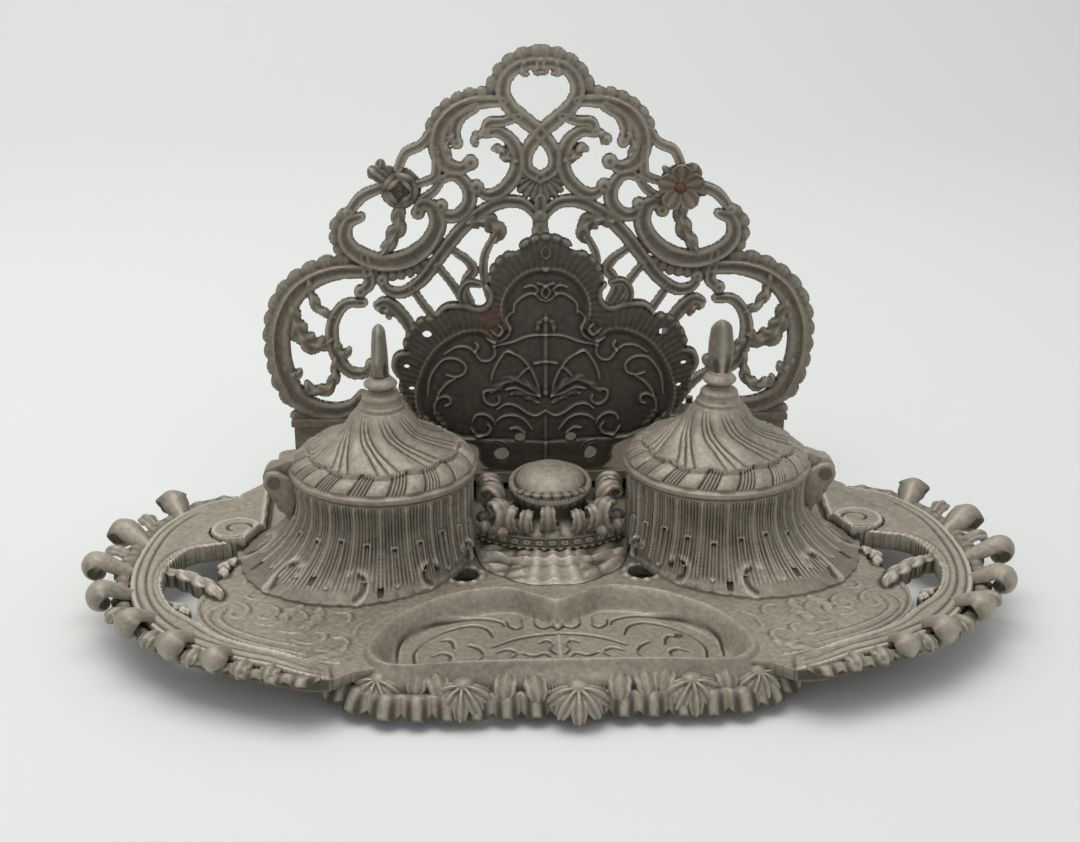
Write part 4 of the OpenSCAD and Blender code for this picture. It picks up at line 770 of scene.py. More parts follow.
def make_lid(side):
    """Domed lid: a hollow cone turned round the axis, with flutes that swirl down it to a wavy edge, a band
    of swellings and grouped ribs below that edge and a moulded rim."""
    n, m = LID_GRID
    line = smooth(LID_OUTSIDE, 9)
    r, z, nr, nz, _ = profile_lengths(line[:, 0], line[:, 1], m)
    flip = np.sign(nr.sum())
    nr, nz = nr * flip, nz * flip
    A = round_angles(n)[:, None]
    R, Z = np.broadcast_to(r, (n, m)), np.broadcast_to(z, (n, m))
    edge = 25.2 + 1.1 * np.abs(np.sin(A * 5.5 + 0.4)) ** 0.8 + 0.5 * np.sin(A * 3 + 1)
    down = np.clip((R - 8) / (edge - 8), 0, 1.3)
    on_top = ease((edge - R) / 0.45)
    # Each group of flutes is one broad swelling and two reeds, with a sharp valley between them
    swirl = (A - 0.92 * ease(down) - 0.12 * np.sin(down * 5)) * FLUTE_GROUPS / (2 * np.pi)
    f = swirl - np.floor(swirl)
    broad = np.clip(f / 0.6, 0, 1)
    reeds = np.clip((f - 0.6) / 0.4, 0, 1) * 2 % 1
    flute = np.where(f < 0.6, 1.1 * np.sin(np.pi * broad) ** 0.55 * (1.15 - 0.3 * broad),
                     0.72 * np.sin(np.pi * reeds) ** 0.6)
    flutes = flute * ease((down - 0.02) / 0.16) * on_top
    flutes = flutes * (0.55 + 0.45 * np.sin(np.pi * np.clip(down, 0, 1)) ** 0.7)
    lip = 0.75 * bump(R - edge, -0.5, 0.5)
    groove = -0.55 * bump(R - edge, 0.45, 0.4)
    band = (1 - on_top) * ease((Z - 2.9) / 0.7)
    cell = (A - 0.02 * (Z - 6)) * BAND_CELLS / (2 * np.pi)
    g = cell - np.floor(cell)
    plump = np.sqrt(np.clip(1 - (2 * np.clip(g / 0.56, 0, 1) - 1) ** 2, 0, 1))
    plump = plump * (0.55 + 0.45 * ease((8 - Z) / 4))
    ribs = np.where(g > 0.6, 0.5 - 0.5 * np.cos((g - 0.6) / 0.4 * 2 * np.pi * 4), 0)
    gadroon = band * (1.05 * plump + 0.62 * ribs)
    ring = 0.3 * bump(Z, 24.2, 0.35) - 0.25 * bump(Z, 23.3, 0.3)
    rim_line = -0.35 * bump(Z, 1.55, 0.16) * (R > 32)
    h = np.minimum(flutes + lip + groove + gadroon + ring + rim_line, 1.6)
    outer_r = np.where(Z < 2.5, np.minimum(R + h * nr, 33), R + h * nr)
    outer_z = np.minimum(Z + h * nz, FINIAL_Z - LID_Z)
    under = np.broadcast_to(np.array(LID_INSIDE), (n, len(LID_INSIDE), 2))
    section = np.concatenate([np.stack([outer_r, outer_z], -1), under], 1)
    points = np.stack([section[..., 0] * np.cos(A) + side * WELL_X, section[..., 0] * np.sin(A) + WELL_Y,
                       section[..., 1] + LID_Z], -1)
    wear_and_shade = np.zeros(section.shape[:2])
    # Relief above its blur is lighter as worn edges, below it and by 0.05 overall darker: painted shade in
    # the flutes' valleys and the grooves.
    wear_and_shade[:, :m] = np.clip((h - blurred_rows(h, 7)) * 1.5 - 0.05, -1, 1)
    name = "swirl_lid_left" if side < 0 else "swirl_lid_right"
    lid = wrap_mesh(name, points, wear_and_shade, close_v=True)
    return [lid, make_knuckle(name + "_knuckle", side)]


def blurred_rows(a, r):
    """Mean over 2r+1 neighbours along the first way, which closes on itself."""
    return sum(np.roll(a, k, axis=0) for k in range(-r, r + 1)) / (2 * r + 1)


def make_knuckle(name, side):
    """Lid's hinge knuckle: an arm that leaves the lid's band and ends in a barrel round the pin."""
    x, z = HINGE_OUT, HINGE_Z
    line = closed([(x + 4.2, z), (x + 3.2, z + 2.8), (x + 1.2, z + 4.2), (x - 1.6, z + 5.2),
                   (x - 4.6, z + 6.4), (30.6, z + 6.9), (29.4, z + 6.4), (29.7, z + 4.8), (31.4, z + 2.4),
                   (x - 4, z + 0.6), (x - 3.4, z - 2.4), (x, z - 4.1), (x + 2.9, z - 2.9)], 5)
    return lofted(name, line, side, ((-3.2, 0.02), (-3.2, 0.9), (-2.95, 0.97), (-2.6, 1), (-0.5, 1),
                                     (0, 0.985), (0.5, 1), (2.6, 1), (2.95, 0.97), (3.2, 0.9), (3.2, 0.02)))


def make_finial(side, turn):
    """Turned collar with a flame on it: four-sided with rounded edges, furrowed at its foot and blunt on
    top."""
    n = 192
    a = round_angles(n)
    prof = smooth([(6.5, 0), (6.55, 0.6), (6.4, 1.2), (5.9, 1.7), (5.2, 2.2), (4.2, 2.9), (3.9, 3.5),
                   (4.4, 4.1), (5.4, 4.7), (5.75, 5.4), (5.6, 6.0), (4.9, 6.8), (4.0, 7.5), (3.7, 8.1)], 5)
    collar = np.broadcast_to(prof, (n,) + prof.shape)
    ring = np.stack([collar[..., 0] * np.cos(a)[:, None], collar[..., 0] * np.sin(a)[:, None],
                     collar[..., 1]], -1)
    z = 8.6 + (26.75 - 8.6) * np.sin(np.linspace(0, np.pi / 2, 72))
    tip = np.clip(1 - (np.maximum(z - 23.6, 0) / 3.15) ** 2.4, 0, 1) ** 0.5
    wide = np.interp(z, [8.6, 9.5, 11, 14.5, 19.7, 24, 25.8, 26.75],
                     [3.6, 3.9, 4.45, 4.5, 4.4, 3.8, 3.1, 2.4]) * tip
    thick = np.interp(z, [8.6, 9.5, 14, 19.7, 24.8, 26, 26.75], [3.3, 3.2, 2.95, 2.6, 2.2, 1.9, 1.5]) * tip
    ca, sa = np.cos(a)[:, None], np.sin(a)[:, None]
    foot = ease((15.5 - z) / 5)
    furrow = 1 - 0.13 * foot * (0.5 + 0.5 * np.cos(6 * a[:, None]))
    x = np.sign(ca) * np.abs(ca) ** 1.05 * wide * furrow
    y = np.sign(sa) * np.abs(sa) ** 1.25 * thick * furrow
    ang = math.radians(turn) + 0.12 * (z - 8.6) / 18
    bx = x * np.cos(ang) - y * np.sin(ang)
    by = x * np.sin(ang) + y * np.cos(ang)
    blade = np.stack([bx, by, np.broadcast_to(z, bx.shape)], -1)
    points = np.concatenate([ring, blade], 1) + [side * WELL_X, WELL_Y, FINIAL_Z]
    # Painted shade in the collar's waist groove, 0.2 overall on the blade and in the furrows at its foot;
    # four lighter lines round the blade are worn edges.
    neck = 0.1 - 0.5 * bump(collar[..., 1], 3.6, 0.6)
    arris = 0.5 * np.abs(np.cos(2 * a[:, None])) ** 6 - 0.2
    arris = arris - 0.5 * foot * (0.5 + 0.5 * np.cos(6 * a[:, None]))
    wear_and_shade = np.concatenate([neck, arris + 0 * bx], 1)
    name = "flame_finial_left" if side < 0 else "flame_finial_right"
    return wrap_mesh(name, points, wear_and_shade, caps=True)


# Swept leaves

def frond(path, wide, thick, ribs=3, lobes=0, cup=0.0, n=28, steps=7):
    """Closed leaf swept along a path in the (s, z) plane: an oval section whose half width and half thickness
    follow the path, with ribs along it, lobes on its edges and cupped sides. Gives points and the per-point
    lightening and darkening: ribs lighter as worn edges, furrows darker as painted shade."""
    line = smooth(path, steps)
    m = len(line)
    t = np.linspace(0, 1, m)
    w = np.interp(t, np.linspace(0, 1, len(wide)), wide) * (1 + 0.16 * np.abs(np.sin(np.pi * lobes * t))
                                                            if lobes else 1)
    h = np.interp(t, np.linspace(0, 1, len(thick)), thick)
    d = np.gradient(line, axis=0)
    d /= np.maximum(np.hypot(d[:, 0], d[:, 1]), 1e-9)[:, None]
    phi = round_angles(n)[:, None]
    c, s = np.cos(phi), np.sin(phi)
    across = c * w
    furrow = 1 + 0.3 * np.cos(c * np.pi * ribs)
    lift = s * h * furrow + cup * w * c ** 2
    x = line[:, 0] - d[:, 1] * lift
    z = line[:, 1] + d[:, 0] * lift
    # Ribs lighter as worn edges, furrows darker as painted shade.
    wear_and_shade = furrow - 1 + 0.02 + 0 * lift
    return np.stack([x + 0 * across, across, z], -1), wear_and_shade


def placed(grid, at, turn=0.0, tilt=0.0, roll=0.0, size=1.0):
    """Turns a grid of points about x (roll), y (tilt) and z (turn), in degrees, and moves it."""
    p = grid * size
    for axis, angle in ((0, roll), (1, tilt), (2, turn)):
        c, s = math.cos(math.radians(angle)), math.sin(math.radians(angle))
        i, j = ((1, 2), (2, 0), (0, 1))[axis]
        q = p.copy()
        q[..., i], q[..., j] = c * p[..., i] - s * p[..., j], s * p[..., i] + c * p[..., j]
        p = q
    return p + np.asarray(at, float)


def mirror_x(grid):
    """The grid on the other side of the middle, with its round way turned back so that it faces outwards."""
    return (grid * [-1, 1, 1])[::-1]


def shells(name, grids, sharp=40):
    """One object from several closed grids, each open end closed with a fan."""
    points, faces, wear_and_shade_parts, base = [], [], [], 0
    for grid, wear_and_shade in grids:
        n, m = grid.shape[:2]
        idx = np.arange(n * m).reshape(n, m)
        nxt = np.roll(idx, -1, axis=0)
        quad = np.stack([idx[:, :-1], nxt[:, :-1], nxt[:, 1:], idx[:, 1:]], -1).reshape(-1, 4)
        tri = np.vstack([quad[:, [0, 1, 2]], quad[:, [0, 2, 3]]])
        k = n * m
        tri = np.vstack([tri, np.stack([nxt[:, 0], idx[:, 0], np.full(n, k)], 1),
                         np.stack([idx[:, -1], nxt[:, -1], np.full(n, k + 1)], 1)])
        points.append(np.vstack([grid.reshape(-1, 3), grid[:, 0].mean(0), grid[:, -1].mean(0)]))
        faces.append(outwards(points[-1], tri) + base)
        wear_and_shade_parts.append(np.concatenate([np.broadcast_to(wear_and_shade, (n, m)).ravel(), [0, 0]]))
        base += k + 2
    return make_mesh(name, np.vstack(points), np.vstack(faces), np.concatenate(wear_and_shade_parts), sharp)


def mound(at, a, b, c, dents=0, n=28, m=15):
    """Rounded boss with half axes a, b, c and shallow dents round it."""
    phi = round_angles(n)[:, None]
    th = np.linspace(0.02, np.pi - 0.02, m)[None, :]
    r = 1 + (0.09 * np.cos(phi * dents) * np.sin(th) if dents else 0)
    grid = np.stack([a * r * np.sin(th) * np.cos(phi), b * r * np.sin(th) * np.sin(phi),
                     -c * np.cos(th) + 0 * phi], -1)
    # Bulges lighter as worn edges, dents darker as painted shade.
    return grid + np.asarray(at, float), 0.1 * np.cos(phi * max(dents, 1)) * np.sin(th)


# Tray

TRAY_HALF = [(0, 100), (30, 100), (70, 100), (101.5, 100), (104.5, 86), (106, 62), (115, 48), (129, 40),
             (140, 22), (144, 0), (143.5, -22), (138, -42), (127, -59), (112, -71), (93, -80), (74, -86),
             (61, -79), (30, -76), (0, -76)]
BAND_INNER = [(72, -76), (78, -74), (94, -68), (107, -60), (116, -50), (126, -39), (131.4, -24), (131.4, -9),
              (126, 2), (112, 7), (102, 22), (104, 62), (153, 62), (153, -92), (70, -92)]
OPEN_BAND = [(111, 8), (126, 3), (132, -9), (132, -24), (127, -38), (117, -49)]
OPEN_PANEL = [(118, -40), (119, -31), (116, -20), (111, -12), (109, -2)]
# Raised lines of the wing's panel
PANEL_LINES = [
    [(112, -21), (106, -18), (100, -19), (96.6, -24), (98, -29), (101.6, -30.4), (103.6, -27.6),
     (101.6, -25.6)],
    [(117.5, -28), (118.5, -38), (114, -49), (104, -59.6), (92, -67), (80, -72), (69, -74.6)],
    [(107, -31.6), (112.6, -36), (114.6, -43), (110, -51), (102, -58), (92, -63.6), (80, -68.6)],
    [(109, -36), (110.6, -43), (107, -49.4), (100, -55), (91, -60), (83, -63)],
    [(107, -31.6), (103, -34.6), (101.6, -39.6), (104, -43.4), (107, -42), (106.4, -39)],
    [(96, -34), (92, -38), (92.6, -43), (96.6, -44.4), (98, -41.6)],
    [(98, -48), (93, -49), (88.6, -46), (88, -41.6), (84, -40), (82, -43.6)],
    [(90, -53), (85, -54.6), (80.6, -51.6), (80, -47)],
    [(86, -58.6), (81, -61.6), (76, -60), (75, -56), (78, -54.6)],
    [(77, -66), (71, -66.6), (67.6, -62.6), (69, -58.6), (72.6, -58.4)],
    [(72, -50), (68, -47), (68.6, -42), (72.6, -41)],
    [(100, -22.6), (96, -16), (92, -15), (88, -18)],
    [(66, -56), (64.4, -50), (60.6, -46)]]


def tray_field():
    """Right half of the tray seen from above: a raised moulded band round the wing, openings, a volute and
    the raised lines of the panel."""
    f = Relief(-0.6, 147, -93, 101.2, 0.6)
    outline = smooth(TRAY_HALF, 6)
    loop = np.vstack([outline, [(0, -76)], [(-6, -76)], [(-6, 100)]])
    f.edge = f.polygon_edge(loop)
    rim_line = smooth(TRAY_HALF[6:17], 6)
    win, _, rim, *_ = f.near(rim_line, np.full(len(rim_line), 0.1), 200)
    d_out = np.full(f.U.shape, 99.0)
    d_out[win] = rim
    band_gap = f.polygon_edge(smooth(BAND_INNER[:11], 6).tolist() + BAND_INNER[11:])
    d_in = -band_gap
    on = ease(d_in / 0.9)
    keep = ease((36 - f.V) / 8)
    band = 3.1 + 0.45 * np.sin(np.pi * np.clip(d_out / 13, 0, 1))
    for at, depth, wide in ((2.8, 0.55, 0.6), (6.0, 0.55, 0.6)):
        band = band - depth * bump(d_out, at, wide) * keep
    for at, depth in ((1.6, 0.6), (3.4, 0.45)):
        band = band - depth * bump(d_in, at, 0.5) * ease((14 - f.V) / 8)
    bead = 0.5 + 0.5 * np.cos(np.arctan2(f.V + 12, f.U - 100) * 90)
    band = band + 0.3 * bead * bump(d_in, 2.5, 0.6) * ease((14 - f.V) / 8)
    band = band * ease(d_out / 1.1)
    a, rim_r = dish_loop(240)
    dish_gap = f.polygon_edge(np.stack([rim_r * np.cos(a), DISH_MID + rim_r * np.sin(a)], 1))
    f.height = on * band * ease((dish_gap - 8) / 24)
    for line in PANEL_LINES:
        f.line_on(line, 0.9, 0.42)
        f.line_on([(x - 1.1, y + 0.5) for x, y in line], 0.8, -0.22)
    f.leaf([(84, -36), (88, -40), (90, -45)], 4, 3, top=0.5)
    f.leaf([(78, -38), (79, -46), (83, -51)], 4, 3, top=0.5)
    f.leaf([(68, -66), (73, -69), (79, -72)], 4, 3, top=0.5)
    opening = f.polygon_edge(np.vstack([smooth(OPEN_BAND, 6), smooth(OPEN_PANEL, 5)]))
    f.edge = np.maximum(f.edge, -opening)
    f.leaf([(135, -10.5), (127, -13), (120.5, -18), (115, -24), (112, -30)], 6.4, 4, top=2.4)
    f.leaf([(130, -34), (124.6, -36), (121, -41)], 4.6, 3, top=1.6)
    f.leaf([(110, -2), (113.4, -7), (112.4, -14)], 4.6, 3, top=1.8)
    disc, turned = f.polar(VOLUTE)
    coil = bump(disc, 2.2 + 0.92 * ((np.degrees(turned) + 60) % 360) / 60, 0.55)
    face = 4.3 - 0.7 * coil * (disc < VOLUTE_R - 0.9)
    f.height = np.where(disc < VOLUTE_R, face * ease((VOLUTE_R + 0.1 - disc) / 0.8), f.height)
    # Flat under the housing's foot
    foot, turned = f.polar((WELL_X, WELL_Y))
    f.height = np.where(foot < flare(turned, 0) + 1.3, 0, f.height)
    f.edge = np.maximum(f.edge, 0.5 - dish_gap)
    f.disc_cut(ROUND_HOLE, HOLE_R)
    ring, turned = f.polar(ROUND_HOLE)
    f.height = f.height + 0.8 * bump(ring, HOLE_R + 1.2, 0.8) * (0.6 + 0.4 * np.cos(turned * 9))
    f.edge = np.maximum(f.edge, -f.U)
    grain = 0.06 * np.sin(f.U * 1.9 + np.sin(f.V * 1.3)) * np.sin(f.V * 2.3)
    f.height = f.height + grain * (f.height < 0.2)
    return f


def make_tray():
    """Two mirrored halves that meet in the middle, the dish, the leaf border and the feet."""
    f = tray_field()
    halves = [sheet_mesh("tray_wing_" + word, f, lambda u, v, h: np.stack([side * u, v, TRAY_TOP + h], -1),
                         -3.5, flip=side < 0) for side, word in ((1, "right"), (-1, "left"))]
    return halves + [make_dish(), make_apron(), make_border(), make_fringe(), make_feet()]


def dish_loop(n):
    """The dish's rim, resampled to n points at even angles round its middle."""
    half = [(9, -33), (19, -28.5), (35, -33), (50, -45), (58, -59), (60, -71), (52, -79.5), (31, -78.4),
            (10, -77.7)]
    pts = [(0, -38)] + half + [(-x, y) for x, y in half[::-1]]
    line = closed(pts, 12) - [0, DISH_MID]
    ang = np.unwrap(np.arctan2(line[:, 1], line[:, 0]))
    order = np.argsort(ang % (2 * np.pi))
    a = round_angles(n)
    r = np.interp(a, (ang % (2 * np.pi))[order], np.hypot(*line.T)[order], period=2 * np.pi)
    return a, r


DISH_LINES = [
    [(-52, -65), (-51.6, -57), (-48, -49.6), (-42.4, -43.6), (-35.6, -39.6), (-29, -37.6), (-23, -38),
     (-18.4, -40.4), (-17.6, -43)],
    [(-46, -68), (-46.6, -60), (-43, -52), (-37.6, -46), (-31, -42.6), (-26.6, -42.4), (-23, -45),
     (-21.4, -50)],
    [(-22, -57), (-16, -52.8), (-10, -50.2), (-4, -49), (0, -48.8)],
    [(-38.6, -52), (-36, -51.4), (-34.4, -53.6), (-34, -57)],
    [(-16.6, -38.4), (-16, -42.6), (-13.6, -44.6), (-11.6, -42.4), (-11.6, -37)],
    [(-7.4, -37), (-7.2, -42), (-5, -44.6), (-2, -43.6), (0, -46)],
    [(-29.6, -55), (-26, -57.6), (-24.6, -61.6), (-27, -65)],
    [(-6.6, -54.6), (-4, -53), (-2.4, -55), (-3, -58.6), (-1.4, -62)],
    [(-41, -62), (-38, -60), (-35, -62), (-36, -66), (-40, -67)],
    [(-32, -69), (-27, -67), (-22, -69), (-17, -66.6), (-12, -69)],
    [(-12.6, -61), (-8.6, -63), (-5, -61.6), (-2.6, -64.6)],
    [(-20.6, -60.4), (-17, -58.6), (-14, -60.6), (-15.6, -63.6)]]


def make_dish():
    """Pen dish as rings round its middle: floor with cut lines, sloping wall, rounded rim, outer slope and
    underside."""
    n = 560
    a, rim = dish_loop(n)
    soft = sum(np.roll(rim, k) for k in range(-2, 3)) / 5
    rows = [((soft - 7.2) * share, np.full(n, 9.5)) for share in np.linspace(0.012, 1, 104)]
    wall = smooth([(-7.2, 9.5), (-6.2, 9.8), (-5.2, 10.9), (-4, 12.9), (-2.4, 15.2), (-1.2, 16.5),
                   (-0.3, 17.05), (0.7, 16.95), (1.4, 16.2), (2.1, 15.0), (3.2, 13.6), (4.4, 12.4),
                   (5.4, 11.2), (6.4, 9.4), (7.0, 8.0), (7.0, 7.1)], 3)[1:]
    rows += [(soft + off, np.full(n, z)) for off, z in wall]
    rows += [((soft + 7) * share, np.full(n, 7.0)) for share in (0.94, 0.7, 0.35, 0.02)]
    R, Z = (np.stack(values, 1) for values in zip(*rows))
    X, Y = R * np.cos(a)[:, None], R * np.sin(a)[:, None] + DISH_MID
    field = Relief(-62, 62, -82, -26, 0.4)
    for line in DISH_LINES:
        for points in (line, mirrored(line)):
            field.line_on(points, 1.0, -0.5)
            field.line_on([(x * 0.985, y + 0.9) for x, y in points], 1.0, 0.35)
    field.line_on([(0, -47), (0, -56), (0, -66)], 1.2, 0.3)
    win = field.window((39, -51), (39, -51), 3)
    field.height[win] -= 1.1 * bump(np.hypot(field.U[win] - 39, field.V[win] + 51), 0, 1)
    i = np.clip((X - field.u[0]) / field.step, 0, len(field.u) - 1.001)
    j = np.clip((Y - field.v[0]) / field.step, 0, len(field.v) - 1.001)
    i0, j0 = i.astype(int), j.astype(int)
    fi, fj = i - i0, j - j0
    g = field.height
    h = (g[i0, j0] * (1 - fi) * (1 - fj) + g[i0 + 1, j0] * fi * (1 - fj) + g[i0, j0 + 1] * (1 - fi) * fj
         + g[i0 + 1, j0 + 1] * fi * fj)
    # The floor's lines reach up to the foot of the wall, and the ribs stand on the front's outer slope
    row = np.arange(R.shape[1])
    h = np.where(row < 112, h, 0)
    Z = Z + h
    front = ease((-68 - Y) / 6)
    ribs = 0.3 * np.cos(a * 170)[:, None] * ((Z < 10.4) & (row > 118) & (R > soft[:, None] + 2)) * front
    R2 = R + ribs
    X, Y = R2 * np.cos(a)[:, None], R2 * np.sin(a)[:, None] + DISH_MID
    # Cut lines darker as painted shade in them; raised lines lighter as worn edges; the ribs light and dark
    # in turn.
    return wrap_mesh("pen_dish", np.stack([X, Y, Z], -1), h * 1.9 + ribs, caps=True)


def make_apron():
    """Leaf-covered slope between the dish and the centre piece: rings round the bow's centre, with a fluted
    shell in the middle and hanging leaf tips at the top."""
    n, m = 260, 64
    a = np.linspace(-46, 46, n)[:, None]
    edge = 54.5 - 0.0085 * a ** 2 + 1.1 * np.abs(np.sin(np.radians(a * 9.5))) ** 0.7
    r = BOW_R + (edge - BOW_R) * np.linspace(0, 1, m)[None, :]
    base = np.interp(r, [BOW_R, 38.4, 43.4, 50.4, 57], [19.0, 18.9, 17.2, 15.8, 15.3])
    mid = ease((13 - np.abs(a)) / 2)
    flutes = 0.5 + 0.5 * np.cos(np.radians(a) * 46)
    leaf = np.abs(np.sin(np.radians(a * 9.5))) ** 0.7 * (0.6 + 0.4 * np.cos((r - 38) * 1.1 + a * 0.4))
    h = mid * (0.9 * flutes + 0.5) + (1 - mid) * (1.25 * leaf)
    hang = 1.2 * np.abs(np.sin(np.radians(a * 12)))
    tips = 0.8 * bump(r, 41.2 + hang, 1) - 0.6 * bump(r, 43.6 + hang, 0.9)
    z = base + (h + tips) * ease((edge - r) / 1.6) * ease((r - 37) / 1.2)
    ar = np.radians(a - 90)
    top = np.stack([r * np.cos(ar), BOW_Y + r * np.sin(ar), z], -1)
    low = top[:, ::-1].copy()
    low[..., 2] = 14.2
    section = np.concatenate([top, low], 1)
    # Raised leaves and flutes lighter as worn edges; low parts between them and the grooves behind the tips
    # darker: painted shade.
    wear_and_shade = np.concatenate([(h - 0.55) * 0.8 + tips * 0.6, np.zeros((n, m))], 1)
    return wrap_mesh("shell_apron", section.transpose(1, 0, 2)[::-1], wear_and_shade.T[::-1], caps=True)


def inwards(x, y, turn, reach):
    """The point that lies a reach back from (x, y), against the direction turn in degrees."""
    return x - reach * math.cos(math.radians(turn)), y - reach * math.sin(math.radians(turn))


def curl_at(x, y, turn, size):
    """A curled border leaf: it rises from the band, rolls outwards and comes back under itself, round an
    eye."""
    grid, wear_and_shade = frond([(-8, 0.2), (-4, 2.4), (-0.4, 4.6), (2.8, 6.3), (5.8, 6.2), (7.4, 4.0), (6.8, 1.2),
                        (4.4, -0.2), (2.6, 0.8), (2.8, 2.4)],
                       [2.6, 3.7, 4.7, 5.4, 5.7, 5.4, 4.6, 3.6, 2.6, 1.4],
                       [1.5, 1.7, 1.7, 1.7, 1.7, 1.6, 1.5, 1.3, 1.0, 0.6], ribs=1, lobes=3, cup=-0.14, n=34)
    return placed(grid, (x, y, 15.2), turn, size=size), wear_and_shade * 0.9


def ruffle(path, out, rise, drop, waves, thick=1.6, across=14):
    """Leafy rim along a path of (x, y, z): at share t of its reach it lies at base + normal * reach * t and
    at the height rise * sin(0.8 pi t) - drop * t^2, with waves in its reach and two veins to a wave."""
    path = np.asarray(path, float)
    step = np.gradient(path[:, :2], axis=0)
    step /= np.hypot(step[:, :1], step[:, 1:])
    run = np.concatenate([[0], np.cumsum(np.hypot(*np.diff(path[:, :2], axis=0).T))])
    u = run / run[-1] * waves
    ends = ease(np.minimum(run, run[-1] - run) / 5)
    reach = out * (0.55 + 0.45 * np.abs(np.sin(np.pi * u)) ** 0.6) * (0.25 + 0.75 * ends)
    t = np.linspace(0, 1, across)[:, None]
    veins = np.cos(2 * np.pi * u * 2) * t
    lift = rise * np.sin(0.8 * np.pi * t) - drop * t ** 2 + 0.38 * veins
    body = thick * (1 - 0.6 * t ** 2) * (0.4 + 0.6 * np.abs(np.sin(np.pi * u)))
    rows = []
    for z, share in ((lift, t), ((lift - body - 0.2)[::-1], t[::-1])):
        rows.append(np.stack([path[:, 0] + step[:, 1] * reach * share,
                              path[:, 1] - step[:, 0] * reach * share, path[:, 2] + z], -1))
    # Veins lighter and darker along the top, 0.15 darker overall, and the underside 0.4 darker: painted shade
    # under the rim.
    return np.concatenate(rows), np.concatenate([0.5 * veins - 0.15, 0 * veins - 0.4])


def make_border():
    """Curled leaves round both wings on a ruffled rim, with small side tips between them."""
    leaves = [(-5, 42.5, 62, 0.92), (8.5, 16, 33, 1.0), (13, -11, 0, 1.0), (7, -34, -28, 0.98),
              (-6, -53, -46, 0.95), (-22, -68, -58, 0.92), (-36.5, -77, -66, 0.82)]
    tips = [(2.5, 30, 48), (9.6, 4, 14), (9.4, -23.5, -14), (0.5, -44, -38), (-13.6, -61, -52),
            (-29, -73, -62), (-45, -81, -68), (-54, -84, -72)]
    rim = smooth([(x, y, 16.4) for x, y in TRAY_HALF[6:16]], 14)[::-1]
    grids = [ruffle(rim, 5.8, 1.6, 1.2, 19)]
    for dx, y, turn, size in leaves:
        reach = 5.4 * size
        grids.append(curl_at(*inwards(WING_X + dx, y, turn, reach), turn, size))
    for dx, y, turn in tips:
        small, w = frond([(-6, 0), (-2, 2.2), (1.6, 3.4), (4.2, 2.8), (4.8, 0.8), (3.4, -0.2)],
                         [2.0, 3.0, 3.4, 3.0, 2.2, 1.0], [1.4, 1.6, 1.5, 1.3, 1.1, 0.6], ribs=2, lobes=4,
                         cup=-0.1, n=26)
        grids.append((placed(small, (*inwards(WING_X + dx, y, turn, 2.6), 15.0), turn, size=0.85), w * 0.9))
    grids += [(mirror_x(g), w[::-1]) for g, w in grids]
    return shells("curled_leaf_border", grids)


def standing(grid, x, y, turn, move=(0, 0, 0)):
    """Tips a flat palmette's part up against the dish's front and puts it at its place there."""
    return placed(placed(grid, move, roll=28), (x, y + 1.2, 8.9), turn)


def make_fringe():
    """Leaves that hang from the dish's front: a ruffled rim, bulky palmettes on it and small leaves
    between."""
    edge = smooth([(-71, -70, 10.5), (-66, -77, 10), (-54, -84, 9.6), (-31, -84.6, 9.4), (0, -83.8, 9.4),
                   (31, -84.6, 9.4), (54, -84, 9.6), (66, -77, 10), (71, -70, 10.5)], 40)
    grids = [ruffle(edge, 7.2, 1.4, 5.4, 17, 2.6)]
    spots = [(-57, 0.5, 7.4, -22), (-31, 5, 8.7, -8), (4, 7.55, 9, 0), (39, 4.5, 8.7, 8), (60, 0.5, 7.4, 24)]
    for x, extra, r, turn in spots:
        y = -80 - extra
        for ang in (-168, -130, -90, -50, -12):
            grid, wear_and_shade = frond([(0.4, 2.2), (r * 0.4, 2.5), (r * 0.75, 1.5), (r * 0.98, -0.8),
                                (r * 0.9, -1.8)], [1.4, r * 0.27, r * 0.31, r * 0.22, r * 0.1],
                               [1.6, 2.0, 1.8, 1.2, 0.6], ribs=2, n=22)
            grids.append((standing(placed(grid, (0, 0, 0), ang), x, y, turn), wear_and_shade))
        grid, wear_and_shade = mound((0, 0, 0), r * 0.42, r * 0.36, 2.4)
        grids.append((standing(grid, x, y, turn, (0, -0.6, 2.6)), wear_and_shade))
    for x, y, turn in ((-67, -78, -40), (-45, -84, -100), (-18, -87.4, -100), (-9, -88.4, -80),
                       (17, -88.4, -95), (25, -87, -80), (50, -84.6, -80), (70, -77, -30), (-39, -86, -70),
                       (31, -86, -110)):
        grid, wear_and_shade = frond([(-6, 2.6), (-2, 3.6), (1.6, 2.8), (3.8, 0.6), (3.0, -1.0)],
                           [2.0, 3.2, 3.4, 2.4, 0.8], [1.5, 1.8, 1.6, 1.2, 0.6], ribs=2, lobes=4, n=24)
        grids.append((placed(grid, (x, y + 4.0, 8.4), turn), wear_and_shade))
    return shells("palmette_fringe", grids)


def make_feet():
    """Four short feet, fluted and rounded at the ground."""
    grids = []
    a = round_angles(48)[:, None]
    prof = smooth([(3.6, 0.02), (4.7, 0.3), (5.1, 1.2), (4.9, 3), (5.2, 6), (6.2, 9), (7.4, 11),
                   (7.6, 12)], 4)
    r = prof[None, :, 0] * (1 + 0.04 * np.cos(a * 8) * ease((prof[None, :, 1] - 1) / 2))
    for x, y in FEET:
        # Flute ridges lighter as worn edges, their valleys darker as painted shade.
        grids.append((np.stack([x + r * np.cos(a), y + r * np.sin(a), prof[None, :, 1] + 0 * a], -1),
                      0.2 * np.cos(a * 8) + 0 * r))
    return shells("tray_feet", grids)


# Centre piece

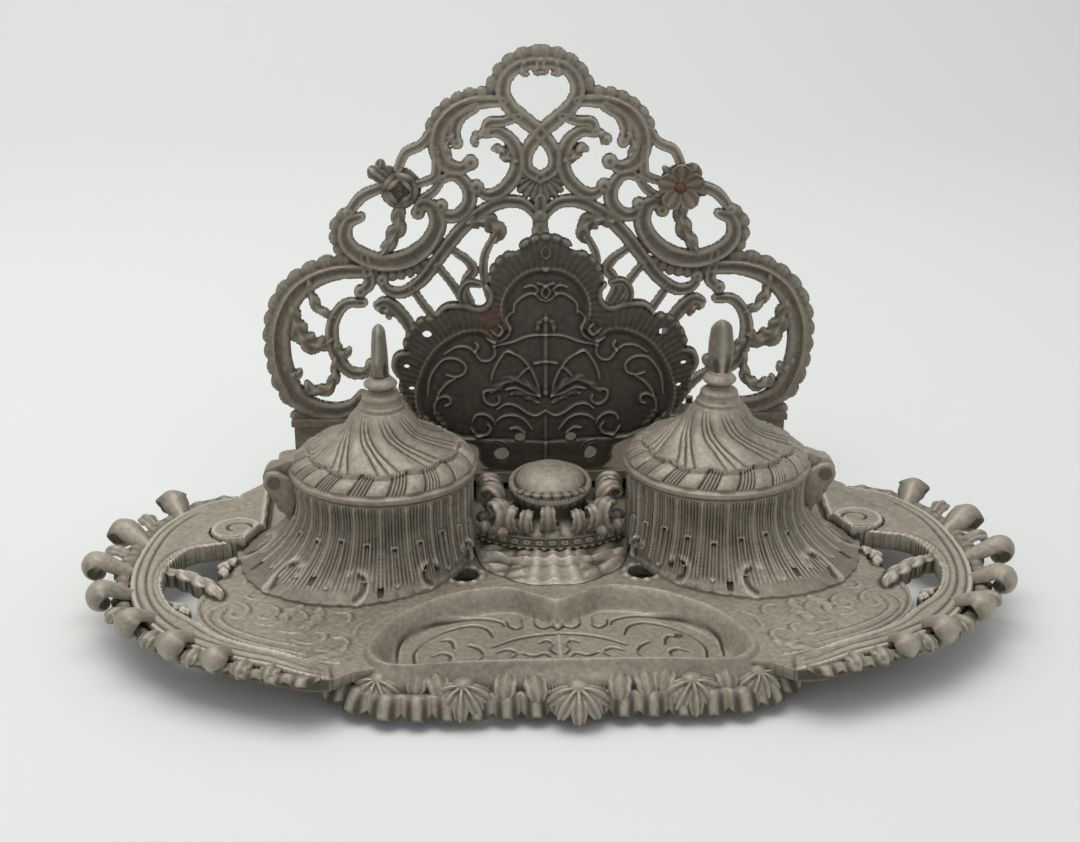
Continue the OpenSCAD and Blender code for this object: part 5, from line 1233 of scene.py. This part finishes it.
def make_pedestal():
    """Bow-fronted ring of panels with a reeded ledge, a leafy waist with deep gaps painted dark as shade, and
    curled side leaves."""
    a = np.linspace(-45, 45, 360)[None, :]
    prof = smooth([(14, 19.05), (34, 19.05), (36.4, 19.2), (37.2, 19.6), (37.4, 20.0), (37.1, 20.5),
                   (36.1, 20.8), (36.0, 21.6), (36.0, 22.6), (36.1, 23.2), (37.0, 23.5), (37.2, 23.9),
                   (36.8, 24.3), (35.8, 24.6), (35.0, 25.0), (34.2, 25.9), (33.6, 26.6), (32.8, 27.0),
                   (31.6, 26.6), (30.6, 25.2), (29, 24.4), (14, 24.2)], 4)
    r, z = prof[:, :1], prof[:, 1:]
    cell = (a / 7.0 + 0.5) % 1 - 0.5
    panel = np.clip(1 - (cell / 0.36) ** 4 - ((z - 22.0) / 1.15) ** 4, 0, 1) ** 0.5 * (r > 35.5)
    pit = bump(cell, 0, 0.1) * bump(z, 22, 0.4) * (r > 35.5)
    reeds = 0.3 * np.cos(np.radians(a) * 150) * bump(z, 25.6, 0.7) * (r > 32.8)
    beads = 0.35 * np.cos(np.radians(a) * 80) * bump(z, 19.9, 0.5) * (r > 36)
    r2 = r + 1.1 * panel - 0.4 * pit + reeds + beads
    ar = np.radians(a - 90)
    grid = np.stack([r2 * np.cos(ar), BOW_Y + r2 * np.sin(ar), z + 0 * r2], -1)
    # Panels lighter as worn edges; pits darker and the whole ring 0.2 darker: painted shade.
    ring = (grid, 0.6 * panel - 0.7 * pit + reeds + beads - 0.2)
    a = round_angles(240)[:, None]
    prof = smooth([(17.6, 24.2), (17.0, 25.2), (14.8, 26.6), (13.4, 28.4), (12.9, 30.6), (13.1, 32.8),
                   (13.8, 35.0), (13.9, 36.6), (9, 36.8)], 6)[None]
    r, z = prof[..., 0], prof[..., 1]
    six = (np.degrees(a) / 60) % 1 - 0.5
    gap_half = 0.17 * np.clip((31.6 - z) / 5, 0.01, 1)
    gap = np.clip(1 - np.abs(six) / gap_half, 0, 1) ** 0.5 * ease((z - 26) / 0.6) * ease((31.6 - z) / 1.2)
    leaves = 0.9 * np.abs(np.sin(a * 9)) ** 0.8 * ease((29 - z) / 3)
    leaves = leaves + 0.5 * np.abs(np.sin(a * 12)) * ease((z - 31) / 2)
    # The top of the waist is tilted as the boss is
    tilt = -np.sin(a) * np.tan(math.radians(BOSS_TILT)) * 13
    zz = z + ease((z - 28) / 7) * tilt
    r3 = r + leaves - 5.2 * gap
    # The waist under the boss is set 0.5 darker and its gaps 1.2 darker: painted shade; its leaves lighter as
    # worn edges.
    waist = (np.stack([r3 * np.cos(a), BOSS_Y + r3 * np.sin(a), zz], -1), leaves * 0.9 - 0.5 - 1.2 * gap)
    grids = [ring, waist]
    curls = [((19, -1.5, 24.6), -128, 1.15), ((21.4, 8, 25), -160, 1.3), ((-1.5, -3.6, 25.2), -90, 0.9),
             ((8.5, -3.8, 25), -72, 0.8), ((14, -2.4, 25), -60, 0.9), ((22, 16, 26), 170, 1.2)]
    for at, turn, size in curls:
        grid, wear_and_shade = frond([(-1, 0), (2.4, 3.2), (3.4, 6.4), (2.0, 9.2), (-0.8, 9.6), (-2.4, 7.6),
                            (-1.0, 6.0)], [2.6, 3.0, 2.8, 2.6, 2.3, 1.7, 0.9],
                           [1.3, 1.2, 1.1, 1.1, 1.0, 0.9, 0.5], ribs=2, lobes=5, n=24)
        g = placed(grid, at, turn, size=size)
        grids.append((g, wear_and_shade))
        if at[0] > 0:
            grids.append((mirror_x(g), wear_and_shade))
    for x, y in ((23, -0.5), (23.6, 7.5), (17.6, -4.6)):
        g, w = mound((x, y, 26.2), 2.6, 2.4, 2.2, 5)
        grids += [(g, w), (mirror_x(g), w)]
    return shells("panelled_pedestal", grids)


def make_boss():
    """Low dome with a step and a beaded rim, tilted forwards."""
    a = round_angles(240)[:, None]
    prof = smooth([(10, 0.0), (13.6, 0.05), (14.5, 0.5), (14.7, 1.3), (14.2, 2.2), (13.3, 2.5),
                   (12.7, 2.0), (12.3, 2.15), (11.9, 3.0), (10.9, 4.2), (9.0, 5.5), (6.4, 6.5), (3.4, 7.0),
                   (0.1, 7.15)], 6)[None]
    r, z = prof[..., 0], prof[..., 1]
    bead = 0.28 * np.cos(a * 64) * bump(z, 2.1, 0.5) * (r > 12.8)
    r2 = r + bead
    grid = placed(np.stack([r2 * np.cos(a), r2 * np.sin(a), z + 0 * r2], -1), (0, BOSS_Y, BOSS_Z),
                  roll=BOSS_TILT)
    # Beads light and dark in turn, and the groove inside the bead rim darker: painted shade.
    return shells("domed_boss", [(grid, bead - 0.5 * bump(r, 12.4, 0.5) + 0 * a)])


# Applied flowers

def facing(grid, side):
    """Stands a form drawn flat (z towards the viewer) on the back plate at the flower's place."""
    p = np.stack([grid[..., 0], -grid[..., 2], grid[..., 1]], -1)
    return p + [side * FLOWER_X * BACK_WIDE, BACK_PLATE_Y + 0.6, RISER_TOP + FLOWER_Z]


def make_rose():
    """Rose: two rings of curled petals round a coiled heart, with a bud at its side."""
    grids = []
    for ring, (count, length, wide, lift, height) in enumerate(((5, 6.4, 4.2, 1.6, 0.6),
                                                                (4, 4.2, 3.2, 2.2, 2.2))):
        grid, wear_and_shade = frond([(0, 0), (length * 0.5, lift * 0.5), (length * 0.85, lift),
                            (length, lift * 0.55)], [wide * 0.5, wide * 0.9, wide, wide * 0.45],
                           [0.9, 0.7, 0.65, 0.4], ribs=1, cup=0.12, n=22)
        grids += [(placed(grid, (0, 0, height), k * 360 / count + ring * 40), wear_and_shade) for k in range(count)]
    turns = np.linspace(0, 5 * np.pi, 150)
    phi = round_angles(14)[:, None]
    rad = 4.6 * (1 - turns / (5 * np.pi) * 0.86)
    tube = 0.62
    z = 3.0 + 2.0 * turns / (5 * np.pi) + np.sin(phi) * tube * 2.2
    rr = rad + np.cos(phi) * tube
    coil = np.stack([rr * np.cos(turns), rr * np.sin(turns), z], -1)[::-1]
    # The coil is lighter on its front, as worn crest and painted highlight, and darker at its back towards
    # the plate, as painted shade.
    grids.append((coil, 0.5 * np.sin(phi) + 0 * rr))
    g, w = mound((0, 0, 2.4), 4.4, 4.4, 2.6, 5)
    # The heart under the petals is set 0.2 darker: painted shade.
    grids.append((g, w - 0.2))
    bud, w = frond([(0, 0), (3, 1.0), (6, 1.4), (8.2, 0.6)], [1.2, 2.4, 2.8, 1.0], [1.0, 1.5, 1.6, 0.7],
                   ribs=2, lobes=2)
    grids.append((placed(bud, (-5.0, 3.4, 0.6), 140), w))
    bud, w = frond([(0, 0), (2.6, 1.0), (4.6, 1.0)], [1.0, 2.0, 0.8], [1.0, 1.3, 0.5], ribs=2, lobes=2)
    grids.append((placed(bud, (-7.4, 7.4, 0.8), 80), w))
    return shells("rose_petals", [(facing(g, -1), w) for g, w in grids])


def make_flower():
    """Open flower: five cupped petals and small leaves behind them."""
    grids = []
    for k in range(5):
        grid, wear_and_shade = frond([(1.6, 0.3), (4.2, 0.8), (7.2, 1.9), (9.0, 2.9)], [1.6, 2.9, 3.5, 1.6],
                           [0.8, 0.7, 0.65, 0.4], ribs=2, lobes=1, cup=0.22, n=24)
        grids.append((placed(grid, (0, 0, 0.9), 18 + k * 72), wear_and_shade))
    for turn in (55, 130, 200, 275, 345):
        grid, wear_and_shade = frond([(3, 0), (6.6, 0.4), (9.4, 0.9), (10.6, 0.4)], [0.9, 1.6, 1.2, 0.4],
                           [0.6, 0.6, 0.5, 0.3], ribs=1, lobes=3, n=18)
        grids.append((placed(grid, (0, 0, 0.5), turn), wear_and_shade))
    return shells("open_flower_petals", [(facing(g, 1), w) for g, w in grids])


# Materials

def node_tools(tree):
    """Short ways to add a node with its settings and to link sockets."""
    def add(kind, at=(0, 0), **settings):
        node = tree.nodes.new(kind)
        node.location = at
        for key, value in settings.items():
            if key.startswith("in_"):
                node.inputs[key[3:].replace("_", " ")].default_value = value
            else:
                setattr(node, key, value)
        return node
    return add, tree.links.new


def new_material(name, **settings):
    """A material with settings for its Principled shader, and the ways to add and link its nodes."""
    material = bpy.data.materials.new(name)
    material.use_nodes = True
    shader = material.node_tree.nodes["Principled BSDF"]
    for key, value in settings.items():
        shader.inputs[key.replace("_", " ")].default_value = value
    return (material, shader, *node_tools(material.node_tree))


def cast_group():
    """Shared cast surface: worn edges and painted shade in the hollows from the per-point attribute,
    mottling, sand grain, rust spots and the bumped normal."""
    tree = bpy.data.node_groups.new("cast_surface", "ShaderNodeTree")
    for name in ("Hollow", "Edge", "Mottle", "Grain", "Rust"):
        tree.interface.new_socket(name, in_out="OUTPUT", socket_type="NodeSocketFloat")
    tree.interface.new_socket("Normal", in_out="OUTPUT", socket_type="NodeSocketVector")
    add, link = node_tools(tree)
    out = add("NodeGroupOutput", (900, 0))
    place = add("ShaderNodeTexCoord", (-900, 0))
    wear_and_shade = add("ShaderNodeAttribute", (-900, 300), attribute_name="wear_and_shade")
    mottle = add("ShaderNodeTexNoise", (-600, 0), in_Scale=95.0, in_Detail=5.0, in_Roughness=0.6)
    broad = add("ShaderNodeTexNoise", (-600, -260), in_Scale=18.0, in_Detail=2.0)
    grain = add("ShaderNodeTexNoise", (-600, -520), in_Scale=1500.0, in_Detail=3.0, in_Roughness=0.7)
    pits = add("ShaderNodeTexNoise", (-600, -780), in_Scale=520.0, in_Detail=2.0)
    for node in (mottle, broad, grain, pits):
        link(place.outputs["Object"], node.inputs["Vector"])
    # Painted shade: values below zero, in hollows, gaps and undersides, give the mask for the dark colour.
    hollow = add("ShaderNodeMapRange", (-300, 400), in_From_Min=0.0, in_From_Max=-0.5)
    edge = add("ShaderNodeMapRange", (-300, 180), in_From_Min=0.1, in_From_Max=0.75)
    link(wear_and_shade.outputs["Fac"], hollow.inputs["Value"])
    link(wear_and_shade.outputs["Fac"], edge.inputs["Value"])
    mix = add("ShaderNodeMath", (-300, -60), operation="MULTIPLY_ADD")
    mix.inputs[1].default_value = 0.3
    link(mottle.outputs["Fac"], mix.inputs[0])
    speckle = add("ShaderNodeMath", (-380, -420), operation="MULTIPLY_ADD")
    speckle.inputs[1].default_value = 0.4
    link(pits.outputs["Fac"], speckle.inputs[0])
    half = add("ShaderNodeMath", (-450, -180), operation="MULTIPLY")
    half.inputs[1].default_value = 0.3
    link(broad.outputs["Fac"], half.inputs[0])
    link(half.outputs[0], speckle.inputs[2])
    link(speckle.outputs[0], mix.inputs[2])
    spots = add("ShaderNodeMapRange", (-300, -300), in_From_Min=0.61, in_From_Max=0.74)
    link(mottle.outputs["Fac"], spots.inputs["Value"])
    bump_fine = add("ShaderNodeBump", (500, -500), in_Strength=0.6, in_Distance=0.00018)
    bump_wide = add("ShaderNodeBump", (250, -500), in_Strength=0.6, in_Distance=0.00035)
    link(pits.outputs["Fac"], bump_wide.inputs["Height"])
    link(grain.outputs["Fac"], bump_fine.inputs["Height"])
    link(bump_wide.outputs["Normal"], bump_fine.inputs["Normal"])
    for name, socket in (("Hollow", hollow.outputs["Result"]), ("Edge", edge.outputs["Result"]),
                         ("Mottle", mix.outputs[0]), ("Grain", grain.outputs["Fac"]),
                         ("Rust", spots.outputs["Result"]), ("Normal", bump_fine.outputs["Normal"])):
        link(socket, out.inputs[name])
    return tree


def iron_material(name, group, dark, mid, light, near=()):
    """Cast iron: colour runs from painted shade in the hollows over the body to worn edges, with mottling and
    rust
    spots. near lists places with more rust: where, how far and how much."""
    material, shader, add, link = new_material(name, Metallic=0.35)
    surface = add("ShaderNodeGroup", (-900, 0))
    surface.node_tree = group
    body = add("ShaderNodeMix", (-600, 200), data_type="RGBA", in_A=(*[0.72 * c for c in mid], 1),
               in_B=(*[1.24 * c for c in mid], 1))
    spread = add("ShaderNodeMapRange", (-760, 200), in_From_Min=0.38, in_From_Max=0.62)
    link(surface.outputs["Mottle"], spread.inputs["Value"])
    link(spread.outputs["Result"], body.inputs["Factor"])
    worn = add("ShaderNodeMix", (-400, 200), data_type="RGBA", in_B=(*light, 1))
    link(surface.outputs["Edge"], worn.inputs["Factor"])
    link(body.outputs["Result"], worn.inputs["A"])
    # The dark colour is painted shade, mixed in by the hollow mask.
    deep = add("ShaderNodeMix", (-200, 200), data_type="RGBA", in_B=(*dark, 1))
    link(surface.outputs["Hollow"], deep.inputs["Factor"])
    link(worn.outputs["Result"], deep.inputs["A"])
    stain = add("ShaderNodeMix", (0, 200), data_type="RGBA", in_B=(*RUST, 1))
    link(deep.outputs["Result"], stain.inputs["A"])
    amount = add("ShaderNodeMath", (-400, -60), operation="MULTIPLY")
    amount.inputs[1].default_value = 0.15
    link(surface.outputs["Rust"], amount.inputs[0])
    total = amount.outputs[0]
    place = add("ShaderNodeTexCoord", (-900, -400))
    for k, (spot, reach, force) in enumerate(near):
        away = add("ShaderNodeVectorMath", (-700, -400 - 160 * k), operation="DISTANCE")
        link(place.outputs["Object"], away.inputs[0])
        away.inputs[1].default_value = [c * MM for c in spot]
        close = add("ShaderNodeMapRange", (-540, -400 - 160 * k), in_From_Min=reach * MM,
                    in_From_Max=reach * MM * 0.4, in_To_Max=force)
        link(away.outputs["Value"], close.inputs["Value"])
        patchy = add("ShaderNodeMath", (-380, -400 - 160 * k), operation="MULTIPLY")
        link(close.outputs["Result"], patchy.inputs[0])
        link(spread.outputs["Result"], patchy.inputs[1])
        join = add("ShaderNodeMath", (-220, -400 - 160 * k), operation="MAXIMUM")
        link(total, join.inputs[0])
        link(patchy.outputs[0], join.inputs[1])
        total = join.outputs[0]
    link(total, stain.inputs["Factor"])
    link(stain.outputs["Result"], shader.inputs["Base Color"])
    rough_map = add("ShaderNodeMapRange", (-200, -100), in_From_Min=0.3, in_From_Max=0.7, in_To_Min=ROUGH[0],
                    in_To_Max=ROUGH[1])
    link(surface.outputs["Grain"], rough_map.inputs["Value"])
    link(rough_map.outputs["Result"], shader.inputs["Roughness"])
    link(surface.outputs["Normal"], shader.inputs["Normal"])
    return material


def plain_metal(name, mid, metallic, rough, rust):
    """Turned or drawn steel with fine scratches and rust spots."""
    material, shader, add, link = new_material(name, Metallic=metallic)
    place = add("ShaderNodeTexCoord", (-900, 0))
    spots = add("ShaderNodeTexNoise", (-700, 0), in_Scale=260.0, in_Detail=4.0)
    fine = add("ShaderNodeTexNoise", (-700, -260), in_Scale=2400.0, in_Detail=2.0)
    link(place.outputs["Object"], spots.inputs["Vector"])
    link(place.outputs["Object"], fine.inputs["Vector"])
    fac = add("ShaderNodeMapRange", (-500, 0), in_From_Min=0.62 - 0.3 * rust, in_From_Max=0.72)
    link(spots.outputs["Fac"], fac.inputs["Value"])
    mix = add("ShaderNodeMix", (-300, 100), data_type="RGBA", in_A=(*mid, 1), in_B=(0.16, 0.07, 0.035, 1))
    link(fac.outputs["Result"], mix.inputs["Factor"])
    link(mix.outputs["Result"], shader.inputs["Base Color"])
    rmap = add("ShaderNodeMapRange", (-300, -200), in_To_Min=rough - 0.1, in_To_Max=rough + 0.12)
    link(fine.outputs["Fac"], rmap.inputs["Value"])
    link(rmap.outputs["Result"], shader.inputs["Roughness"])
    bump = add("ShaderNodeBump", (-300, -450), in_Strength=0.25, in_Distance=0.00008)
    link(fine.outputs["Fac"], bump.inputs["Height"])
    link(bump.outputs["Normal"], shader.inputs["Normal"])
    return material


def glass_material():
    """Old pressed glass, slightly green, with faint waves and a bluish haze."""
    material, shader, add, link = new_material("pressed_glass", Transmission_Weight=0.92, IOR=1.5)
    place = add("ShaderNodeTexCoord", (-900, 0))
    wave = add("ShaderNodeTexNoise", (-700, 0), in_Scale=90.0, in_Detail=2.0)
    link(place.outputs["Object"], wave.inputs["Vector"])
    mix = add("ShaderNodeMix", (-300, 100), data_type="RGBA", in_A=(0.80, 0.87, 0.84, 1),
              in_B=(0.55, 0.62, 0.66, 1))
    link(wave.outputs["Fac"], mix.inputs["Factor"])
    link(mix.outputs["Result"], shader.inputs["Base Color"])
    rmap = add("ShaderNodeMapRange", (-300, -200), in_To_Min=0.04, in_To_Max=0.16)
    link(wave.outputs["Fac"], rmap.inputs["Value"])
    link(rmap.outputs["Result"], shader.inputs["Roughness"])
    bump = add("ShaderNodeBump", (-300, -450), in_Strength=0.3, in_Distance=0.0004)
    link(wave.outputs["Fac"], bump.inputs["Height"])
    link(bump.outputs["Normal"], shader.inputs["Normal"])
    return material


def pale_material():
    """Matt paper in a pale colour with a faint cloud."""
    material, shader, add, link = new_material("paper_sweep", Roughness=0.85, Specular_IOR_Level=0.15)
    place = add("ShaderNodeTexCoord", (-900, 0))
    cloud = add("ShaderNodeTexNoise", (-700, 0), in_Scale=2.5, in_Detail=2.0)
    link(place.outputs["Object"], cloud.inputs["Vector"])
    mix = add("ShaderNodeMix", (-300, 100), data_type="RGBA", in_A=(0.80, 0.815, 0.80, 1),
              in_B=(0.83, 0.84, 0.825, 1))
    link(cloud.outputs["Fac"], mix.inputs["Factor"])
    link(mix.outputs["Result"], shader.inputs["Base Color"])
    return material


# Stage, light, camera

def make_stage():
    """Floor that sweeps up behind the object, as a profile carried across."""
    prof = [(-1500, 0), (-700, 0), (0, 0), (500, 0), (760, 0)]
    t = np.radians(np.linspace(-90, 0, 20))
    prof = np.array(prof + [(760 + 500 * math.cos(x), 500 + 500 * math.sin(x)) for x in t] + [(1260, 2200)])
    xs = np.linspace(-2600, 2600, 9)
    grid = np.stack([np.broadcast_to(xs[:, None], (9, len(prof))),
                     np.broadcast_to(prof[:, 0], (9, len(prof))),
                     np.broadcast_to(prof[:, 1], (9, len(prof)))], -1)
    floor = wrap_mesh("paper_floor", grid, close_u=False)
    floor.data.materials.append(pale_material())


def make_light():
    """Pale even surroundings, a large lamp overhead and a smaller one in front on the left."""
    world = bpy.data.worlds.new("pale_room")
    world.use_nodes = True
    bpy.context.scene.world = world
    back = world.node_tree.nodes["Background"]
    back.inputs["Color"].default_value = (0.97, 0.985, 1.0, 1)
    back.inputs["Strength"].default_value = 0.56
    for name, at, aim, size, power in (("top_softbox", (-250, 120, 1250), (0, 0, 30), 1.1, 9.5),
                                       ("front_softbox", (-500, -1100, 900), (0, 0, 60), 0.8, 6.0)):
        lamp = bpy.data.lights.new(name, "AREA")
        lamp.shape, lamp.size, lamp.energy = "SQUARE", size, power
        lamp.color = (1.0, 0.985, 0.96)
        obj = bpy.data.objects.new(name, lamp)
        obj.location = [c * MM for c in at]
        way = np.array(aim, float) - at
        dip = math.acos(way[2] / np.linalg.norm(way)) - math.pi
        obj.rotation_euler = (dip, 0, math.atan2(way[1], way[0]) - math.pi / 2)
        bpy.context.scene.collection.objects.link(obj)


def make_camera():
    """The photo's camera: its place in metres and its turn, fitted to the lid rims and the plates."""
    camera = bpy.data.cameras.new("studio_camera")
    camera.lens, camera.sensor_width = 56.67, 36
    camera.clip_start, camera.clip_end = 0.01, 20
    obj = bpy.data.objects.new("studio_camera", camera)
    obj.location = (-0.0266, -0.5389, 0.2773)
    obj.rotation_euler = (math.radians(90 - 21.47), 0, math.radians(-2.4))
    bpy.context.scene.collection.objects.link(obj)
    bpy.context.scene.camera = obj


# Putting it together

def give(objects, material, body, node):
    """Material and body for a list of pieces, and the CAD node that they replace."""
    for obj in objects:
        obj.data.materials.clear()
        obj.data.materials.append(material)
        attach(obj, body)
        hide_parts(node)


make_camera()
make_light()
make_stage()
bpy.context.scene.view_settings.view_transform = "Standard"

surface = cast_group()
RUST, ROUGH = (0.17, 0.065, 0.03), (0.4, 0.6)
# Colours of each iron: painted shade in the hollows, the body, the worn edges.
PEWTER = ((0.075, 0.064, 0.045), (0.335, 0.302, 0.238), (0.56, 0.515, 0.43))
tray_iron = iron_material("tray_iron", surface, *PEWTER)
lid_iron = iron_material("lid_iron", surface, *PEWTER, near=(((-95, 2, 46), 12, 0.8),
                                                             ((-58.3, 8.5, 70), 9, 0.5),
                                                             ((58.3, 8.5, 70), 8, 0.3)))
plate_iron = iron_material("plate_iron", surface, (0.045, 0.038, 0.027), (0.26, 0.23, 0.178),
                           (0.48, 0.43, 0.345), near=(((53.5, 90, 124), 11, 0.6),))
# The front plate's iron is darker: partly its own colour, partly painted shade of the upright plate.
dark_iron = iron_material("dark_iron", surface, (0.02, 0.017, 0.012), (0.085, 0.074, 0.055),
                          (0.34, 0.30, 0.235), near=(((-20, 46, 86), 7, 0.7),))
steel = plain_metal("aged_steel", (0.2, 0.17, 0.14), 0.8, 0.45, 0.3)
rusty = plain_metal("rusty_rivet", (0.19, 0.1, 0.06), 0.4, 0.6, 0.9)

back, front = make_plates()
give([back], plate_iron, "stand", "back_plate")
give([front], dark_iron, "stand", "front_plate")
give(make_tray(), tray_iron, "stand", "base_tray")

# The flames stand at different turns, as in the photo
for side, word, turn in ((-1, "left", 80), (1, "right", 5)):
    give(make_housing(side), tray_iron, "stand", "well_housing_" + word)
    give(make_lid(side), lid_iron, word + "_lid", "lid_" + word)
    give([make_finial(side, turn)], lid_iron, word + "_lid", "finial_" + word)

for make, node in ((make_pedestal, "centre_pedestal"), (make_boss, "centre_boss"), (make_rose, "plate_rose"),
                   (make_flower, "plate_flower")):
    give([make()], plate_iron if node.startswith("plate") else tray_iron, "stand", node)

# CAD nodes that are shown as they are
glass = glass_material()
kept = {"rack_base": plate_iron, "rack_knob": tray_iron, "ink_glass_left": glass, "ink_glass_right": glass,
        "flower_rivets": rusty}
for node in ("hinge_pin_left", "hinge_pin_right", "finial_nut_left", "finial_nut_right", "housing_screws",
             "pedestal_screw", "rack_screws", "plate_screws"):
    kept[node] = steel
for node, material in kept.items():
    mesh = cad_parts[node].data
    mesh.materials.clear()
    mesh.materials.append(material)
